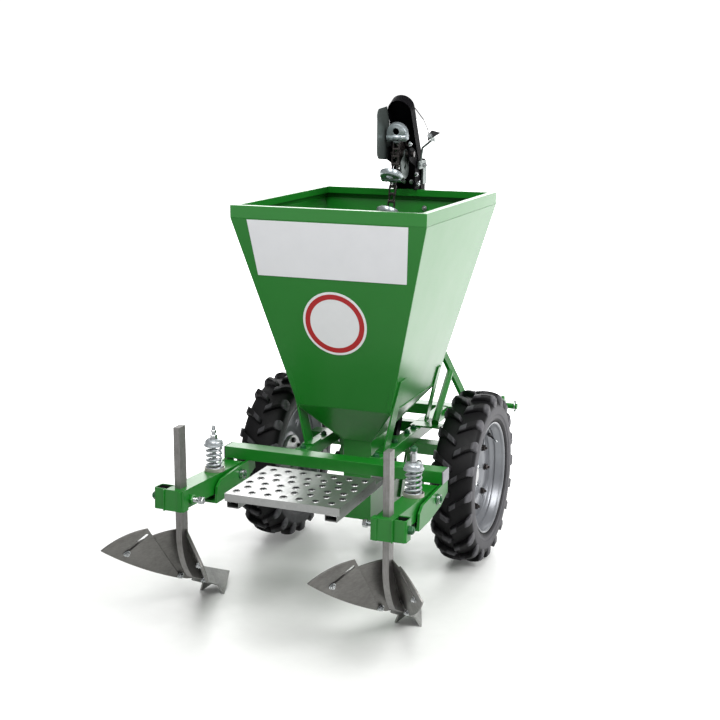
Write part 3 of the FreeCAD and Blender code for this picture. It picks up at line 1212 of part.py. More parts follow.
def build_chassis():
    save("rear_beam", rear_beam())
    save("rear_beam_caps", *beam_caps())
    save("rails", *rails())
    save("front_beam", front_beam())
    save("cross_member", cross_member())
    save("axle_beam", axle_beam())
    save("axle_hangers", *axle_hangers())
    save("bearing_blocks", *bearing_blocks())
    save("lower_hitch", *lower_hitch())
    save("mast", mast())
    save("mast_braces", *braces())
    save("step_plate", step_plate())
    save("step_rails", *step_rails())


def build_hopper():
    for name, panel in hopper_panels().items():
        save("hopper_" + name + "_panel", panel)
    save("hopper_rim", hopper_rim())
    save("hopper_funnel", funnel())
    save("hopper_legs", *hopper_leg(False), *hopper_leg(True))
    sign, disc = rear_signs()
    save("rear_sign_plate", sign)
    save("round_sign_plate", disc)


def build_elevator():
    save("elevator_boot", boot())
    save("drop_tube", drop_tube())
    save("elevator_hood", hood())
    save("side_guard", guard_plate())
    save("head_sprocket", head_wheel())
    save("head_bracket", head_bracket())
    band = chain()
    save("elevator_chain", band)
    save("seed_cups", *cups(band))
    save("chain_shaker", shaker_plate(), shaker_lever())
    save("furrow_opener", fused(furrow_opener(), *opener_struts()))


def build_ridgers():
    save("arm_brackets", *arm_brackets())
    save("arm_pivot_pins", *pivot_pins())
    save("spring_rods", *spring_rods())
    bar = shank()
    blade = share()
    boards = mouldboards().cut(bar).cut(blade)
    flaps = wings()
    for name, side in SIDES.items():
        save(name + "_arm", arm(side))
        save(name + "_shank_clamp", arm_socket(side), clamp_screw(side))
        save(name + "_spring_seat", lower_cup(side))
        save(name + "_spring", spring(side))
        save(name + "_shank", shifted(bar.cut(blade), side))
        save(name + "_share", shifted(blade, side))
        save(name + "_mouldboards", shifted(boards, side))
        save(name + "_wings", *[shifted(flap, side) for flap in flaps])


os.makedirs("parts", exist_ok=True)
build_running_gear()
build_chassis()
build_hopper()
build_elevator()
build_ridgers()
print("axle is", axle_y(), "mm from the origin along Y")
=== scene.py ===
"""Visual model of a one-row potato planter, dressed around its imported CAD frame.

Meshes are in metres in the CAD's frame: +X is the machine's right side, +Y the way it travels
and +Z up.  Sizes in the classes are in millimetres, with Y measured from the wheels' axle.
Each sub-assembly is a class that builds and dresses its own pieces.
"""
import json
import logging
import math
from dataclasses import dataclass, field
from enum import Enum
from typing import Callable, ClassVar, Iterable, Mapping, Sequence

import bmesh
import bpy
from mathutils import Matrix, Vector

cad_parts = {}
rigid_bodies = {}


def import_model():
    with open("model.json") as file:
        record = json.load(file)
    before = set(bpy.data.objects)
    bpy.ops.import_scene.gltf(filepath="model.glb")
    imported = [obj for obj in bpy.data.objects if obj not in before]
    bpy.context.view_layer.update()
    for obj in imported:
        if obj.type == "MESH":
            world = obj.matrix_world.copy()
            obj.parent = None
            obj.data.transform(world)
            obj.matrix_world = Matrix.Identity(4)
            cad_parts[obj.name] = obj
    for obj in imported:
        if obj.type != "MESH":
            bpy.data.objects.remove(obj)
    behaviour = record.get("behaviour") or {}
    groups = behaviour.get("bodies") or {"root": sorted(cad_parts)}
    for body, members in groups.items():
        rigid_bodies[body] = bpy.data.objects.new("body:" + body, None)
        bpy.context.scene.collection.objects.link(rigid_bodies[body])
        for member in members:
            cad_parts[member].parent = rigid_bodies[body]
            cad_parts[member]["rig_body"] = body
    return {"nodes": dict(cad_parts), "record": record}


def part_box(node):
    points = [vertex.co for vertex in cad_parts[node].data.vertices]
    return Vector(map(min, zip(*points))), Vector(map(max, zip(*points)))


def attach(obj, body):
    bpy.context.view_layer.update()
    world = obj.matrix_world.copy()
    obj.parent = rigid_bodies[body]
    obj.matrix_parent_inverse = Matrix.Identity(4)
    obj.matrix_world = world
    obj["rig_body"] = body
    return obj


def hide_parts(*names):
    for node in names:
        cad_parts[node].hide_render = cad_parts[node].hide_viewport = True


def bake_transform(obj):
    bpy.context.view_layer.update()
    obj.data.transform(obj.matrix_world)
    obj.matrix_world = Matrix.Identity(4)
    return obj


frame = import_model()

LOG = logging.getLogger("planter")
MM = 0.001
FULL_TURN = 2 * math.pi
SIGNS = (-1, 1)
CORNERS = ((-1, -1), (1, -1), (1, 1), (-1, 1))
RIGHT, FORWARD, UP = Vector((1, 0, 0)), Vector((0, 1, 0)), Vector((0, 0, 1))

Colour = tuple[float, float, float]
Profile = tuple[tuple[float, float], ...]
Socket = bpy.types.NodeSocket
Given = Mapping[str, Socket]
Value = Socket | float | Sequence[float]


class Side(Enum):
    """The two sides of the machine, each with its sign of X."""

    LEFT = -1
    RIGHT = 1


class Ends(Enum):
    """What becomes of the first and the last ring of a loft."""

    OPEN = "open"
    CAPPED = "capped"
    JOINED = "joined"


def around(count: int, start: float = 0.0) -> list[float]:
    """Equally spaced angles over one full turn, in radians."""
    return [start + FULL_TURN * k / count for k in range(count)]


def circle(radius: float, count: int, x: float = 0.0, y: float = 0.0) -> list[tuple[float, float]]:
    """Equally spaced points on a circle."""
    return [(x + radius * math.cos(a), y + radius * math.sin(a)) for a in around(count)]


def mirrored(profile: Profile) -> Profile:
    """The same (across, radius) points on the other side, in reverse order."""
    return tuple((-x, r) for x, r in reversed(profile))


# ------------------------------------------------------------------ node trees
class Tree:
    """Short calls for building one node tree."""

    def __init__(self, tree: bpy.types.NodeTree) -> None:
        """Keep the tree that the calls below add to."""
        self.tree = tree

    def node(self, kind: str, inputs: dict | None = None, **settings: object) -> bpy.types.Node:
        """Add a node.

        Args:
            kind: Blender's node type name.
            inputs: socket name or index to a value, or to an output socket to link.
            settings: attributes of the node itself.

        Returns:
            The new node.
        """
        made = self.tree.nodes.new(kind)
        for key, value in settings.items():
            setattr(made, key, value)
        for key, value in (inputs or {}).items():
            if isinstance(value, Socket):
                self.tree.links.new(value, made.inputs[key])
            else:
                made.inputs[key].default_value = value
        return made

    def out(self, kind: str, inputs: dict | None = None, output: str | int = 0,
            **settings: object) -> Socket:
        """Add a node and return one of its outputs."""
        return self.node(kind, inputs, **settings).outputs[output]

    def math(self, operation: str, *values: Value, clamp: bool = False) -> Socket:
        """Result of a math node."""
        return self.out("ShaderNodeMath", dict(enumerate(values)), operation=operation,
                        use_clamp=clamp)

    def times(self, first: Value, second: Value) -> Socket:
        """Product of two values."""
        return self.math("MULTIPLY", first, second)

    def plus(self, first: Value, second: Value, clamp: bool = False) -> Socket:
        """Sum of two values, kept within 0 to 1 if asked."""
        return self.math("ADD", first, second, clamp=clamp)

    def mix(self, factor: Value, first: Value, second: Value) -> Socket:
        """Mixture of two colours."""
        return self.out("ShaderNodeMix", {0: factor, 6: first, 7: second}, 2, data_type="RGBA")

    def ramp(self, value: Value, low: float, high: float, to_low: float = 0.0,
             to_high: float = 1.0) -> Socket:
        """A value mapped from one range to another, clamped."""
        return self.out("ShaderNodeMapRange", dict(enumerate((value, low, high, to_low, to_high))))

    def noise(self, place: Socket, scale: Value, detail: float, roughness: float = 0.5) -> Socket:
        """Smooth noise at a place."""
        return self.out("ShaderNodeTexNoise", {"Vector": place, "Scale": scale, "Detail": detail,
                                               "Roughness": roughness}, "Fac")

    def surface(self, inputs: dict) -> None:
        """Close a material with one shader of these inputs."""
        shader = self.out("ShaderNodeBsdfPrincipled", inputs)
        self.node("ShaderNodeOutputMaterial", {"Surface": shader})


def new_material(name: str) -> tuple[bpy.types.Material, Tree]:
    """Make a material with an empty node tree.

    Args:
        name: its name.

    Returns:
        The material, and its tree to add to.
    """
    made = bpy.data.materials.new(name)
    made.use_nodes = True
    made.node_tree.nodes.clear()
    return made, Tree(made.node_tree)


def node_group(name: str, kind: str, inputs: dict[str, tuple[str, object]], output: str,
               build: Callable[[Tree, Given], Socket]) -> bpy.types.NodeTree:
    """Make a node group with one output, once.

    Args:
        name: the group's name, also how a second call finds it.
        kind: Shader or Geometry.
        inputs: socket name to its type word and its default, or None for no default.
        output: type word of the output.
        build: lays the nodes from the group's inputs and returns the result.

    Returns:
        The node group.
    """
    if name in bpy.data.node_groups:
        return bpy.data.node_groups[name]
    group = bpy.data.node_groups.new(name, kind + "NodeTree")
    for title, (word, default) in inputs.items():
        socket = group.interface.new_socket(title, in_out="INPUT", socket_type="NodeSocket" + word)
        if default is not None:
            socket.default_value = default
    group.interface.new_socket("Result", in_out="OUTPUT", socket_type="NodeSocket" + output)
    tree = Tree(group)
    tree.node("NodeGroupOutput", {0: build(tree, tree.node("NodeGroupInput").outputs)})
    return group


# ------------------------------------------------------------------ shared shader effects
def patches(tree: Tree, place: Socket, scale: Socket) -> Socket:
    """Soft uneven patches: dust, fingermarks and uneven sheen.

    Args:
        tree: the tree to add to.
        place: where the effect is read.
        scale: how fine it is.

    Returns:
        0 to 1 over the surface.
    """
    broad = tree.noise(place, scale, 6.0, 0.62)
    fine = tree.noise(place, tree.times(scale, 7.3), 3.0)
    return tree.ramp(tree.plus(tree.times(broad, 0.75), tree.times(fine, 0.25)), 0.38, 0.66)


def hairlines(tree: Tree, place: Socket, scale: Socket) -> Socket:
    """Fine lines drawn out along one direction, as rolling or grinding leaves them."""
    return tree.ramp(tree.noise(place, scale, 4.0, 0.7), 0.3, 0.7)


def spangle(tree: Tree, place: Socket, scale: Socket) -> Socket:
    """Crystal-like cells of a zinc coat."""
    cells = tree.out("ShaderNodeTexVoronoi", {"Vector": place, "Scale": scale}, "Color")
    return tree.out("ShaderNodeSeparateColor", {0: cells})


def pebble(tree: Tree, place: Socket, scale: Socket) -> Socket:
    """Small rounded bumps: sprayed paint's skin, cast skin or moulded rubber.

    Args:
        tree: the tree to add to.
        place: where the effect is read.
        scale: how fine it is.

    Returns:
        The height of the bumps.
    """
    small = tree.noise(place, scale, 2.0, 0.4)
    large = tree.noise(place, tree.times(scale, 0.08), 2.0)
    return tree.plus(tree.times(small, 0.5), tree.times(large, 1.2))


def effect(tree: Tree, build: Callable[[Tree, Socket, Socket], Socket], scale: float,
           stretch: Colour = (1.0, 1.0, 1.0)) -> Socket:
    """Use a shared effect in a material; its group is made once.

    Args:
        tree: the material's tree.
        build: lays the effect from a place and a scale.
        scale: how fine it is.
        stretch: factor on each coordinate of the object; a small one draws it out.

    Returns:
        The effect's value.
    """
    def placed(inner: Tree, given: Given) -> Socket:
        """Lay the effect on the object's own coordinates.

        Args:
            inner: the group's tree.
            given: the group's inputs.

        Returns:
            The effect's value.
        """
        place = inner.out("ShaderNodeTexCoord", output="Object")
        drawn = inner.out("ShaderNodeVectorMath", {0: place, 1: given["Stretch"]},
                          operation="MULTIPLY")
        return build(inner, drawn, given["Scale"])

    group = node_group(build.__name__, "Shader", {
        "Scale": ("Float", 1.0), "Stretch": ("Vector", (1.0, 1.0, 1.0))}, "Float", placed)
    return tree.out("ShaderNodeGroup", {"Scale": scale, "Stretch": stretch}, node_tree=group)


# ------------------------------------------------------------------ finishes
@dataclass(frozen=True)
class Finish:
    """One surface finish; its sizes say how the shared effects are used on it."""

    name: str
    slot: str
    colour: Colour
    second: Colour                      # what the colour turns to in patches, lines and cells
    rough: tuple[float, float]
    patch_scale: float
    patch_mix: float = 0.5
    metallic: float = 0.0
    coat: float = 0.0
    coat_rough: float = 0.1
    stretch: Colour | None = None       # None for no drawn lines
    line_scale: float = 60.0
    line_mix: float = 0.0
    cell_scale: float = 0.0
    cell_mix: float = 0.0               # 0 for no cells
    bump_scale: float = 400.0
    bump: float = 0.05
    specular: float = 0.5
    dusty: Colour | None = None         # colour of the dust, and of the painted highlight on the tyre's lugs, where a piece's mask is set

    LINE_ROUGH: ClassVar[float] = 0.12
    LINE_RISE: ClassVar[float] = 0.8
    CELL_ROUGH: ClassVar[float] = 0.3
    BUMP_DEPTH: ClassVar[float] = 0.2
    THIN_DUST: ClassVar[float] = 0.45

    def material(self) -> bpy.types.Material:
        """Build the material once, then hand back the same one.

        Returns:
            The Blender material of this finish.
        """
        if self.name in bpy.data.materials:
            return bpy.data.materials[self.name]
        made, tree = new_material(self.name)
        patch = effect(tree, patches, self.patch_scale)
        shade = tree.times(patch, self.patch_mix)
        rough = tree.ramp(patch, 0.0, 1.0, *self.rough)
        rise = effect(tree, pebble, self.bump_scale)
        if self.stretch:
            lines = effect(tree, hairlines, self.line_scale, self.stretch)
            shade = tree.plus(shade, tree.times(lines, self.line_mix), clamp=True)
            rough = tree.plus(rough, tree.times(lines, self.LINE_ROUGH), clamp=True)
            rise = tree.plus(rise, tree.times(lines, self.LINE_RISE))
        if self.cell_mix:
            grain = tree.times(effect(tree, spangle, self.cell_scale), self.cell_mix)
            shade = tree.plus(shade, grain, clamp=True)
            rough = tree.plus(rough, tree.times(grain, self.CELL_ROUGH), clamp=True)
        colour = tree.mix(shade, (*self.colour, 1.0), (*self.second, 1.0))
        # dust, and on the tyre's lugs a painted highlight, mixed in where the piece's mask is set
        if self.dusty:
            mask = tree.out("ShaderNodeAttribute", output="Fac", attribute_name="dust")
            dust = tree.times(mask, tree.ramp(patch, 0.0, 1.0, self.THIN_DUST, 1.0))
            colour = tree.mix(dust, colour, (*self.dusty, 1.0))
        bump = tree.out("ShaderNodeBump", {"Height": rise, "Strength": self.bump,
                                           "Distance": self.BUMP_DEPTH * MM})
        tree.surface({"Base Color": colour, "Roughness": rough, "Normal": bump,
                      "Metallic": self.metallic, "Coat Weight": self.coat,
                      "Coat Roughness": self.coat_rough, "Specular IOR Level": self.specular})
        made.diffuse_color = (*self.colour, 1.0)
        return made


PAINT = Finish("green_gloss_paint", "green_paint", (0.004, 0.165, 0.009), (0.012, 0.215, 0.022),
               (0.3, 0.35), 2.2, patch_mix=0.2, coat=0.35, coat_rough=0.22, bump=0.02,
               bump_scale=150.0, specular=0.4)
BLACK = Finish("black_satin_paint", "black_sheet", (0.0015, 0.0014, 0.002),
               (0.006, 0.0055, 0.007), (0.5, 0.62), 9.0, specular=0.04, bump=0.12)
ZINC = Finish("bright_zinc_plate", "zinc", (0.6, 0.62, 0.63), (0.3, 0.32, 0.33), (0.14, 0.32),
              26.0, metallic=1.0, cell_scale=160.0, cell_mix=0.25, bump=0.1)
TREAD = Finish("brushed_tread_steel", "tread_plate", (0.52, 0.525, 0.52), (0.3, 0.315, 0.305),
               (0.24, 0.4), 5.0, metallic=0.92, stretch=(1.0, 0.05, 1.0), line_scale=240.0,
               line_mix=0.3, bump=0.14)
STEEL = Finish("rolled_steel", "raw_steel", (0.33, 0.325, 0.32), (0.18, 0.17, 0.16), (0.34, 0.5),
               10.0, metallic=0.75, stretch=(1.0, 1.0, 0.06), line_scale=260.0, line_mix=0.35,
               bump=0.2)
MOULD = Finish("ground_mould_steel", "mould_steel", (0.215, 0.21, 0.2), (0.125, 0.12, 0.115),
               (0.3, 0.46), 7.0, metallic=0.85, stretch=(0.25, 0.4, 1.0), line_scale=190.0,
               line_mix=0.4, bump=0.16)
SHARE = Finish("bright_share_steel", "share_steel", (0.4, 0.4, 0.39), (0.24, 0.24, 0.235),
               (0.28, 0.4), 12.0, metallic=0.85, stretch=(1.0, 0.2, 0.3), line_scale=220.0,
               line_mix=0.3, bump=0.15)
CHAIN = Finish("oiled_chain_steel", "chain_steel", (0.07, 0.062, 0.06), (0.028, 0.024, 0.023),
               (0.2, 0.42), 60.0, metallic=0.85, bump=0.1)
GREY_SHEET = Finish("grey_guard_sheet", "grey_sheet", (0.2, 0.235, 0.225), (0.11, 0.13, 0.125),
                    (0.25, 0.42), 8.0, metallic=0.75, cell_scale=90.0, cell_mix=0.15, bump=0.08)
# its dusty colour also serves as the painted highlight on the inner ends of the lugs' tops
RUBBER = Finish("tyre_rubber", "tyre", (0.0022, 0.002, 0.0026), (0.0062, 0.0058, 0.0068),
                (0.48, 0.64), 9.0, patch_mix=0.6, bump=0.3, bump_scale=700.0, specular=0.22,
                dusty=(0.135, 0.132, 0.145))
RIM_SILVER = Finish("silver_rim_paint", "rim_silver", (0.24, 0.25, 0.27), (0.19, 0.195, 0.21),
                    (0.28, 0.36), 5.0, patch_mix=0.4, metallic=0.45, coat=0.2, bump=0.02)
HUB = Finish("hub_casting", "hub_steel", (0.72, 0.72, 0.72), (0.55, 0.55, 0.56), (0.35, 0.5), 20.0,
             metallic=0.2, bump=0.3, bump_scale=500.0)
IRON = Finish("black_bearing_iron", "black_iron", (0.01, 0.01, 0.011), (0.03, 0.03, 0.032),
              (0.35, 0.5), 20.0, bump=0.4, bump_scale=450.0)
CUP_ZINC = Finish("dull_cup_zinc", "zinc", (0.4, 0.44, 0.46), (0.16, 0.19, 0.2), (0.22, 0.42),
                  45.0, patch_mix=0.8, metallic=0.6)
BOLT_GREEN = Finish("dark_green_bolt", "green_paint", (0.006, 0.075, 0.02), (0.025, 0.14, 0.055),
                    (0.34, 0.48), 40.0, coat=0.1, specular=0.3, bump=0.08)
SPRING = Finish("plated_spring_wire", "spring_steel", (0.44, 0.47, 0.49), (0.25, 0.28, 0.29),
                (0.3, 0.42), 50.0, metallic=0.6, bump=0.04)
SEAT_ZINC = Finish("pressed_seat_zinc", "zinc", (0.5, 0.49, 0.44), (0.34, 0.33, 0.3), (0.3, 0.44),
                   40.0, metallic=0.7, bump=0.06)
WHITE = Finish("white_plate_paint", "white_sign", (0.76, 0.77, 0.79), (0.62, 0.63, 0.65),
               (0.3, 0.4), 3.0, patch_mix=0.3, coat=0.2)
DISC_WHITE = Finish("round_plate_white", "round_sign", (0.78, 0.79, 0.8), (0.64, 0.65, 0.66),
                    (0.3, 0.4), 5.0, patch_mix=0.3)
DISC_RED = Finish("round_plate_red", "round_sign", (0.42, 0.008, 0.01), (0.34, 0.006, 0.008),
                  (0.3, 0.4), 5.0, patch_mix=0.3)
PLUG = Finish("grey_moulded_plug", "grey_plastic", (0.34, 0.34, 0.37), (0.26, 0.26, 0.29),
              (0.45, 0.6), 30.0, bump=0.2, bump_scale=900.0)

SLOT_FINISH = {made.slot: made for made in (
    PAINT, BLACK, ZINC, TREAD, STEEL, MOULD, SHARE, CHAIN, GREY_SHEET, RUBBER, RIM_SILVER, HUB,
    IRON, SPRING, WHITE, DISC_WHITE, PLUG)}
NODE_SLOT = {part["node"]: part["material_slot"] for part in frame["record"]["subparts"]}
AXLE_Y = (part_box("left_tyre")[0].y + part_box("left_tyre")[1].y) / 2


def spot(x: float, y: float, z: float) -> Vector:
    """Point in the frame, in metres, from millimetres measured from the wheel axle's line."""
    return Vector((x * MM, y * MM + AXLE_Y, z * MM))


def link(name: str, data: bpy.types.ID) -> bpy.types.Object:
    """Put a mesh, lamp or camera into the scene as an object at the origin.

    Args:
        name: the object's name.
        data: what it shows.

    Returns:
        The object.
    """
    made = bpy.data.objects.new(name, data)
    bpy.context.scene.collection.objects.link(made)
    return made


# ------------------------------------------------------------------ studio
@dataclass
class Studio:
    """Pale floor, soft light and the camera; places are in metres and angles in degrees."""

    eye: tuple[float, float, float] = (1.5317, -4.0998, 1.6574)
    yaw: float = 21.33
    pitch: float = 12.68
    roll: float = 0.27
    lens: float = 64.24
    floor_half: float = 40.0
    near: tuple[float, float, float] = (0.1, -0.25, 0.0)
    fade: tuple[float, float] = (0.45, 1.9)         # distances over which the floor turns white
    pale: Colour = (0.86, 0.87, 0.85)
    worn: Colour = (0.78, 0.79, 0.77)
    marks: float = 3.5
    sheen: tuple[float, float] = (0.35, 0.55)
    glow: float = 1.35
    fill: float = 0.34
    backdrop: float = 1.1

    # range of y, then how bright the floor grows over it, ahead of the machine and behind it
    AHEAD: ClassVar[tuple] = (-0.6, 1.6, 0.0, 2.1)
    BEHIND: ClassVar[tuple] = (1.3, 2.6, 0.0, 1.2)
    # name, place, target, size and power
    LAMPS: ClassVar[tuple] = (
        ("ahead", (-1.0, 4.8, 2.5), (0.0, 0.3, 0.6), 4.6, 190.0),
        ("key", (3.6, -0.6, 3.4), (0.0, 0.2, 0.6), 2.4, 150.0),
        ("behind", (0.9, -3.4, 5.4), (0.0, -0.2, 0.6), 2.6, 170.0),
        ("top", (-0.6, -0.6, 4.6), (0.0, 0.0, 0.5), 3.0, 40.0))

    def build(self) -> None:
        """Make the floor, the world, the lamps and the camera."""
        self.floor()
        self.world()
        self.lamps()
        self.camera()

    def floor(self) -> None:
        """A wide matt floor that fades into white with distance."""
        mesh = bpy.data.meshes.new("floor")
        mesh.from_pydata([(x * self.floor_half, y * self.floor_half, 0) for x, y in CORNERS],
                         [], [(0, 1, 2, 3)])
        surface, tree = new_material("pale_floor")
        place = tree.out("ShaderNodeTexCoord", output="Object")
        reach = tree.out("ShaderNodeVectorMath", {0: place, 1: self.near}, "Value",
                         operation="DISTANCE")
        far = tree.ramp(reach, *self.fade)
        marks = effect(tree, patches, self.marks)
        near = tree.mix(tree.times(marks, 0.5), (*self.pale, 1.0), (*self.worn, 1.0))
        ahead = tree.out("ShaderNodeSeparateXYZ", {0: place}, "Y")
        seen = tree.out("ShaderNodeLightPath", output="Is Camera Ray")
        before = tree.ramp(ahead, *self.AHEAD)
        behind = tree.ramp(tree.times(ahead, -1.0), *self.BEHIND)
        lit = tree.math("MAXIMUM", tree.times(seen, self.glow),
                        tree.math("MAXIMUM", behind, before))
        tree.surface({"Base Color": tree.mix(far, near, (0.0, 0.0, 0.0, 1.0)),
                      "Roughness": tree.ramp(marks, 0.0, 1.0, *self.sheen),
                      "Emission Strength": tree.times(far, lit),
                      "Emission Color": (1.0, 1.0, 1.0, 1.0)})
        mesh.materials.append(surface)
        link("floor", mesh)

    def world(self) -> None:
        """White surroundings, dimmer as a light than as a backdrop."""
        world = bpy.data.worlds.new("studio")
        world.use_nodes = True
        tree = Tree(world.node_tree)
        back = world.node_tree.nodes["Background"]
        back.inputs["Color"].default_value = (1.0, 1.0, 1.0, 1.0)
        seen = tree.out("ShaderNodeLightPath", output="Is Camera Ray")
        world.node_tree.links.new(tree.ramp(seen, 0.0, 1.0, self.fill, self.backdrop),
                                  back.inputs["Strength"])
        bpy.context.scene.world = world
        bpy.context.scene.view_settings.view_transform = "Standard"

    def lamps(self) -> None:
        """Broad lights ahead of the machine, on its right, behind it and overhead."""
        for name, place, target, size, power in self.LAMPS:
            data = bpy.data.lights.new(name, "AREA")
            data.shape, data.size, data.energy = "SQUARE", size, power
            lamp = link(name, data)
            lamp.location = place
            aim = Vector(target) - Vector(place)
            lamp.rotation_euler = aim.to_track_quat("-Z", "Y").to_euler()

    def camera(self) -> None:
        """The camera, behind the machine to its right and a little above it."""
        data = bpy.data.cameras.new("camera")
        data.lens, data.sensor_width = self.lens, 36.0
        made = link("camera", data)
        turn = Matrix.Identity(4)
        for angle, axis in ((self.yaw, "Z"), (90 - self.pitch, "X"), (self.roll, "Z")):
            turn = turn @ Matrix.Rotation(math.radians(angle), 4, axis)
        made.matrix_world = Matrix.Translation(Vector(self.eye) + FORWARD * AXLE_Y) @ turn
        bpy.context.scene.camera = made


# ------------------------------------------------------------------ pieces
def bake(made: bpy.types.Object) -> None:
    """Replace an object's mesh by what its modifiers make of it.

    Args:
        made: the object.
    """
    bpy.context.view_layer.update()
    graph = bpy.context.evaluated_depsgraph_get()
    mesh = bpy.data.meshes.new_from_object(made.evaluated_get(graph))
    made.modifiers.clear()
    made.data = mesh


def shade(made: bpy.types.Object, angle: float | None) -> None:
    """Shade a piece smooth, apart from edges sharper than an angle in degrees, if one is given.

    Args:
        made: the object.
        angle: the angle, or None for no sharp edges.
    """
    made.data.polygons.foreach_set("use_smooth", [True] * len(made.data.polygons))
    if angle is not None:
        made.data.set_sharp_from_angle(angle=math.radians(angle))


def ease(made: bpy.types.Object, width: float, segments: int = 2, angle: float = 32.0) -> None:
    """Round an object's sharp edges slightly, so that they catch the light.

    Args:
        made: the object.
        width: how wide its edges are eased, in millimetres; 0 leaves them sharp.
        segments: faces across each eased edge.
        angle: edges sharper than this, in degrees, are eased.
    """
    shade(made, None if width else angle)
    if not width:
        return
    bevel = made.modifiers.new("ease", "BEVEL")
    bevel.width, bevel.segments = width * MM, segments
    bevel.limit_method, bevel.angle_limit = "ANGLE", math.radians(angle)
    bevel.harden_normals = True
    bake(made)


def dress(made: bpy.types.Object, finish: Finish, body: str,
          hides: Sequence[str] = ()) -> bpy.types.Object:
    """Say what a piece rides on and stands for.

    Args:
        made: the piece.
        finish: not used.
        body: the body it rides on.
        hides: the CAD nodes that it stands for.

    Returns:
        The piece.
    """
    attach(made, body)
    if hides:
        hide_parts(*hides)
    LOG.info("%s: %d faces on %s", made.name, len(made.data.polygons), body)
    return made


def refine(node: str, width: float = 0.8, finish: Finish | None = None,
           merge: bool = True) -> bpy.types.Object:
    """Stand a copy of a CAD node with eased edges in its place.

    Args:
        node: the CAD node.
        width: how wide its edges are eased, in millimetres.
        finish: its finish, or None for that of its record slot.
        merge: whether flat faces are joined first.

    Returns:
        The copy, riding on the node's body.
    """
    chosen = finish or SLOT_FINISH[NODE_SLOT[node]]
    mesh = frame["nodes"][node].data.copy()
    work = bmesh.new()
    work.from_mesh(mesh)
    bmesh.ops.remove_doubles(work, verts=work.verts, dist=2e-6)
    if merge:
        bmesh.ops.dissolve_limit(work, angle_limit=math.radians(0.6), verts=work.verts,
                                 edges=work.edges, use_dissolve_boundaries=False)
    work.to_mesh(mesh)
    work.free()
    for title in ("custom_normal", "sharp_edge", "sharp_face"):
        if title in mesh.attributes:
            mesh.attributes.remove(mesh.attributes[title])
    mesh.materials.clear()
    mesh.materials.append(chosen.material())
    made = link(node + "_skin", mesh)
    ease(made, width)
    return dress(made, chosen, frame["nodes"][node]["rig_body"], (node,))


